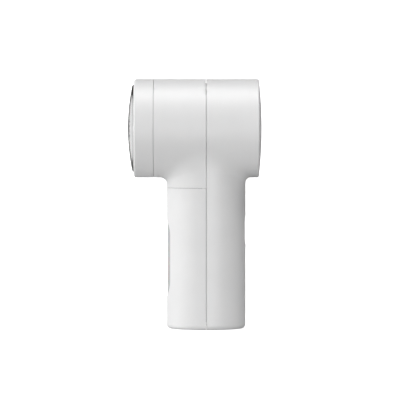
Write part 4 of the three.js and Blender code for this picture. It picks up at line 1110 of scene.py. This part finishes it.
def carry_over():
    """Every CAD node that nothing stands for keeps its shape, with its edges eased and its own material."""
    for name, node in frame["nodes"].items():
        if node.hide_render:
            continue
        node.data.materials.clear()
        node.data.materials.append(MATERIALS[SLOT_OF[name]])
        bevelled(node, "eased_edges", 0.1, 40)


# ---------- The object ----------

front_housing()
rear_housing()
lint_bin()
bin_window()
bin_seal()
collar_ring()
foil_bezel()
foil()
foil_clamp()
blade_chamber()
chamber_o_ring()
cutter_disc()
for number in range(1, BLADES + 1):
    cutter_blade(number)
cutter_spring()
interlock_pin()
power_button()
led_lens()
usb_receptacle()
handle_chassis()
lint_chute()
for number in SCREWS:
    screw(f"chamber_screw_{number}")
    screw(f"chassis_screw_{number}")
for number in (1, 2):
    screw(f"motor_screw_{number}")
carry_over()

# ---------- Studio ----------


def paper(name, shape, emission):
    """White paper that only the camera sees, so that the lamps and the room alone shade the shaver."""
    obj = to_object(shape, name)
    material, nodes, links, shader = new_material(name + "_paper")
    mottled(nodes, links, shader, grey(0.9), grey(0.88), 3)
    grained(nodes, links, shader, 900, 0.02, (0.85, 0.95))
    settings(shader, {"Specular IOR Level": 0, "Emission Color": (1, 1, 1, 1), "Emission Strength": emission})
    obj.data.materials.append(material)
    obj.visible_diffuse = obj.visible_glossy = obj.visible_transmission = obj.visible_shadow = False


def floor_and_backdrop():
    radius, height = 4000, 3000
    angles = full_turn(64)
    rings = [[(r * math.cos(a), r * math.sin(a), 0) for a in angles] for r in (1, 300, 1500, radius)]
    paper("floor", sheet([[*ring, ring[0]] for ring in rings]), 0.7)
    wall = [[(radius * math.cos(a), radius * math.sin(a), z) for a in angles] for z in (-1, height)]
    paper("backdrop", sheet([[*ring, ring[0]] for ring in wall]), 1.0)


def studio():
    """Soft lamps on four sides, in a dim room with a white panel and strip along its left."""
    for name, (strength, way) in LAMPS.items():
        data = bpy.data.lights.new(name, "SUN")
        data.energy = strength
        data.angle = math.radians(LAMP_SPREAD)
        lamp = in_scene(name, data)
        lamp.location = way
        lamp.visible_glossy = name not in UNMIRRORED
        lamp.rotation_euler = Vector(way).to_track_quat("Z", "Y").to_euler()
    world = bpy.data.worlds.new("studio")
    bpy.context.scene.world = world
    world.use_nodes = True
    nodes, links = world.node_tree.nodes, world.node_tree.links
    place = nodes.new("ShaderNodeTexCoord")
    split = nodes.new("ShaderNodeSeparateXYZ")
    links.new(place.outputs["Generated"], split.inputs["Vector"])

    def steps_along(axis, levels):
        """Brightness that changes along an axis, from -1 to 1."""
        spread = nodes.new("ShaderNodeMapRange")
        spread.inputs["From Min"].default_value = -1
        ramp = nodes.new("ShaderNodeValToRGB")
        band = ramp.color_ramp
        (first, low), *middle, (last, high) = levels
        band.elements[0].position, band.elements[0].color = (first + 1) / 2, (*grey(low), 1)
        band.elements[1].position, band.elements[1].color = (last + 1) / 2, (*grey(high), 1)
        for position, value in middle:
            band.elements.new((position + 1) / 2).color = (*grey(value), 1)
        links.new(split.outputs[axis], spread.inputs["Value"])
        links.new(spread.outputs["Result"], ramp.inputs["Fac"])
        return ramp.outputs["Color"]

    def mixed(blend, factor, first, second):
        mix = nodes.new("ShaderNodeMix")
        mix.data_type = "RGBA"
        mix.blend_type = blend
        mix.inputs["Factor"].default_value = 1
        mix.inputs["B"].default_value = (*grey(PANEL), 1)
        for name, source in (("Factor", factor), ("A", first), ("B", second)):
            if source:
                links.new(source, mix.inputs[name])
        return mix.outputs["Result"]

    room = steps_along("Z", [(-0.1, ROOM_BELOW), (0.1, ROOM_ABOVE)])
    panel = steps_along("X", [(-0.72, 1), (-0.6, 0)])
    strip_height = steps_along("Z", [(-0.14, 0), (-0.1, 1), (0.1, 1), (0.14, 0)])
    strip_side = steps_along("X", [(-0.26, 1), (-0.2, 0)])
    white = mixed("LIGHTEN", None, panel, mixed("MULTIPLY", None, strip_height, strip_side))
    links.new(mixed("MIX", white, room, None), nodes["Background"].inputs["Color"])
    bpy.context.scene.view_settings.view_transform = "Standard"


def camera():
    """A long lens square to the shaver's side, level with the head and tipped down a little."""
    distance = 1.84
    across = 0.199  # width of the view at the object
    eye_x, eye_z = -3.65, HEAD_Z + 12
    aim_x, aim_z = -3.05, 63.8
    data = bpy.data.cameras.new("camera")
    data.sensor_width = 36
    data.lens = data.sensor_width * distance / across
    data.clip_start, data.clip_end = 0.05, 100
    obj = in_scene("camera", data)
    obj.location = ((HANDLE_X + eye_x) * MM, -distance, eye_z * MM)
    aim = Vector(((HANDLE_X + aim_x) * MM, 0, aim_z * MM))
    obj.rotation_euler = (aim - obj.location).to_track_quat("-Z", "Y").to_euler()
    bpy.context.scene.camera = obj


floor_and_backdrop()
studio()
camera()
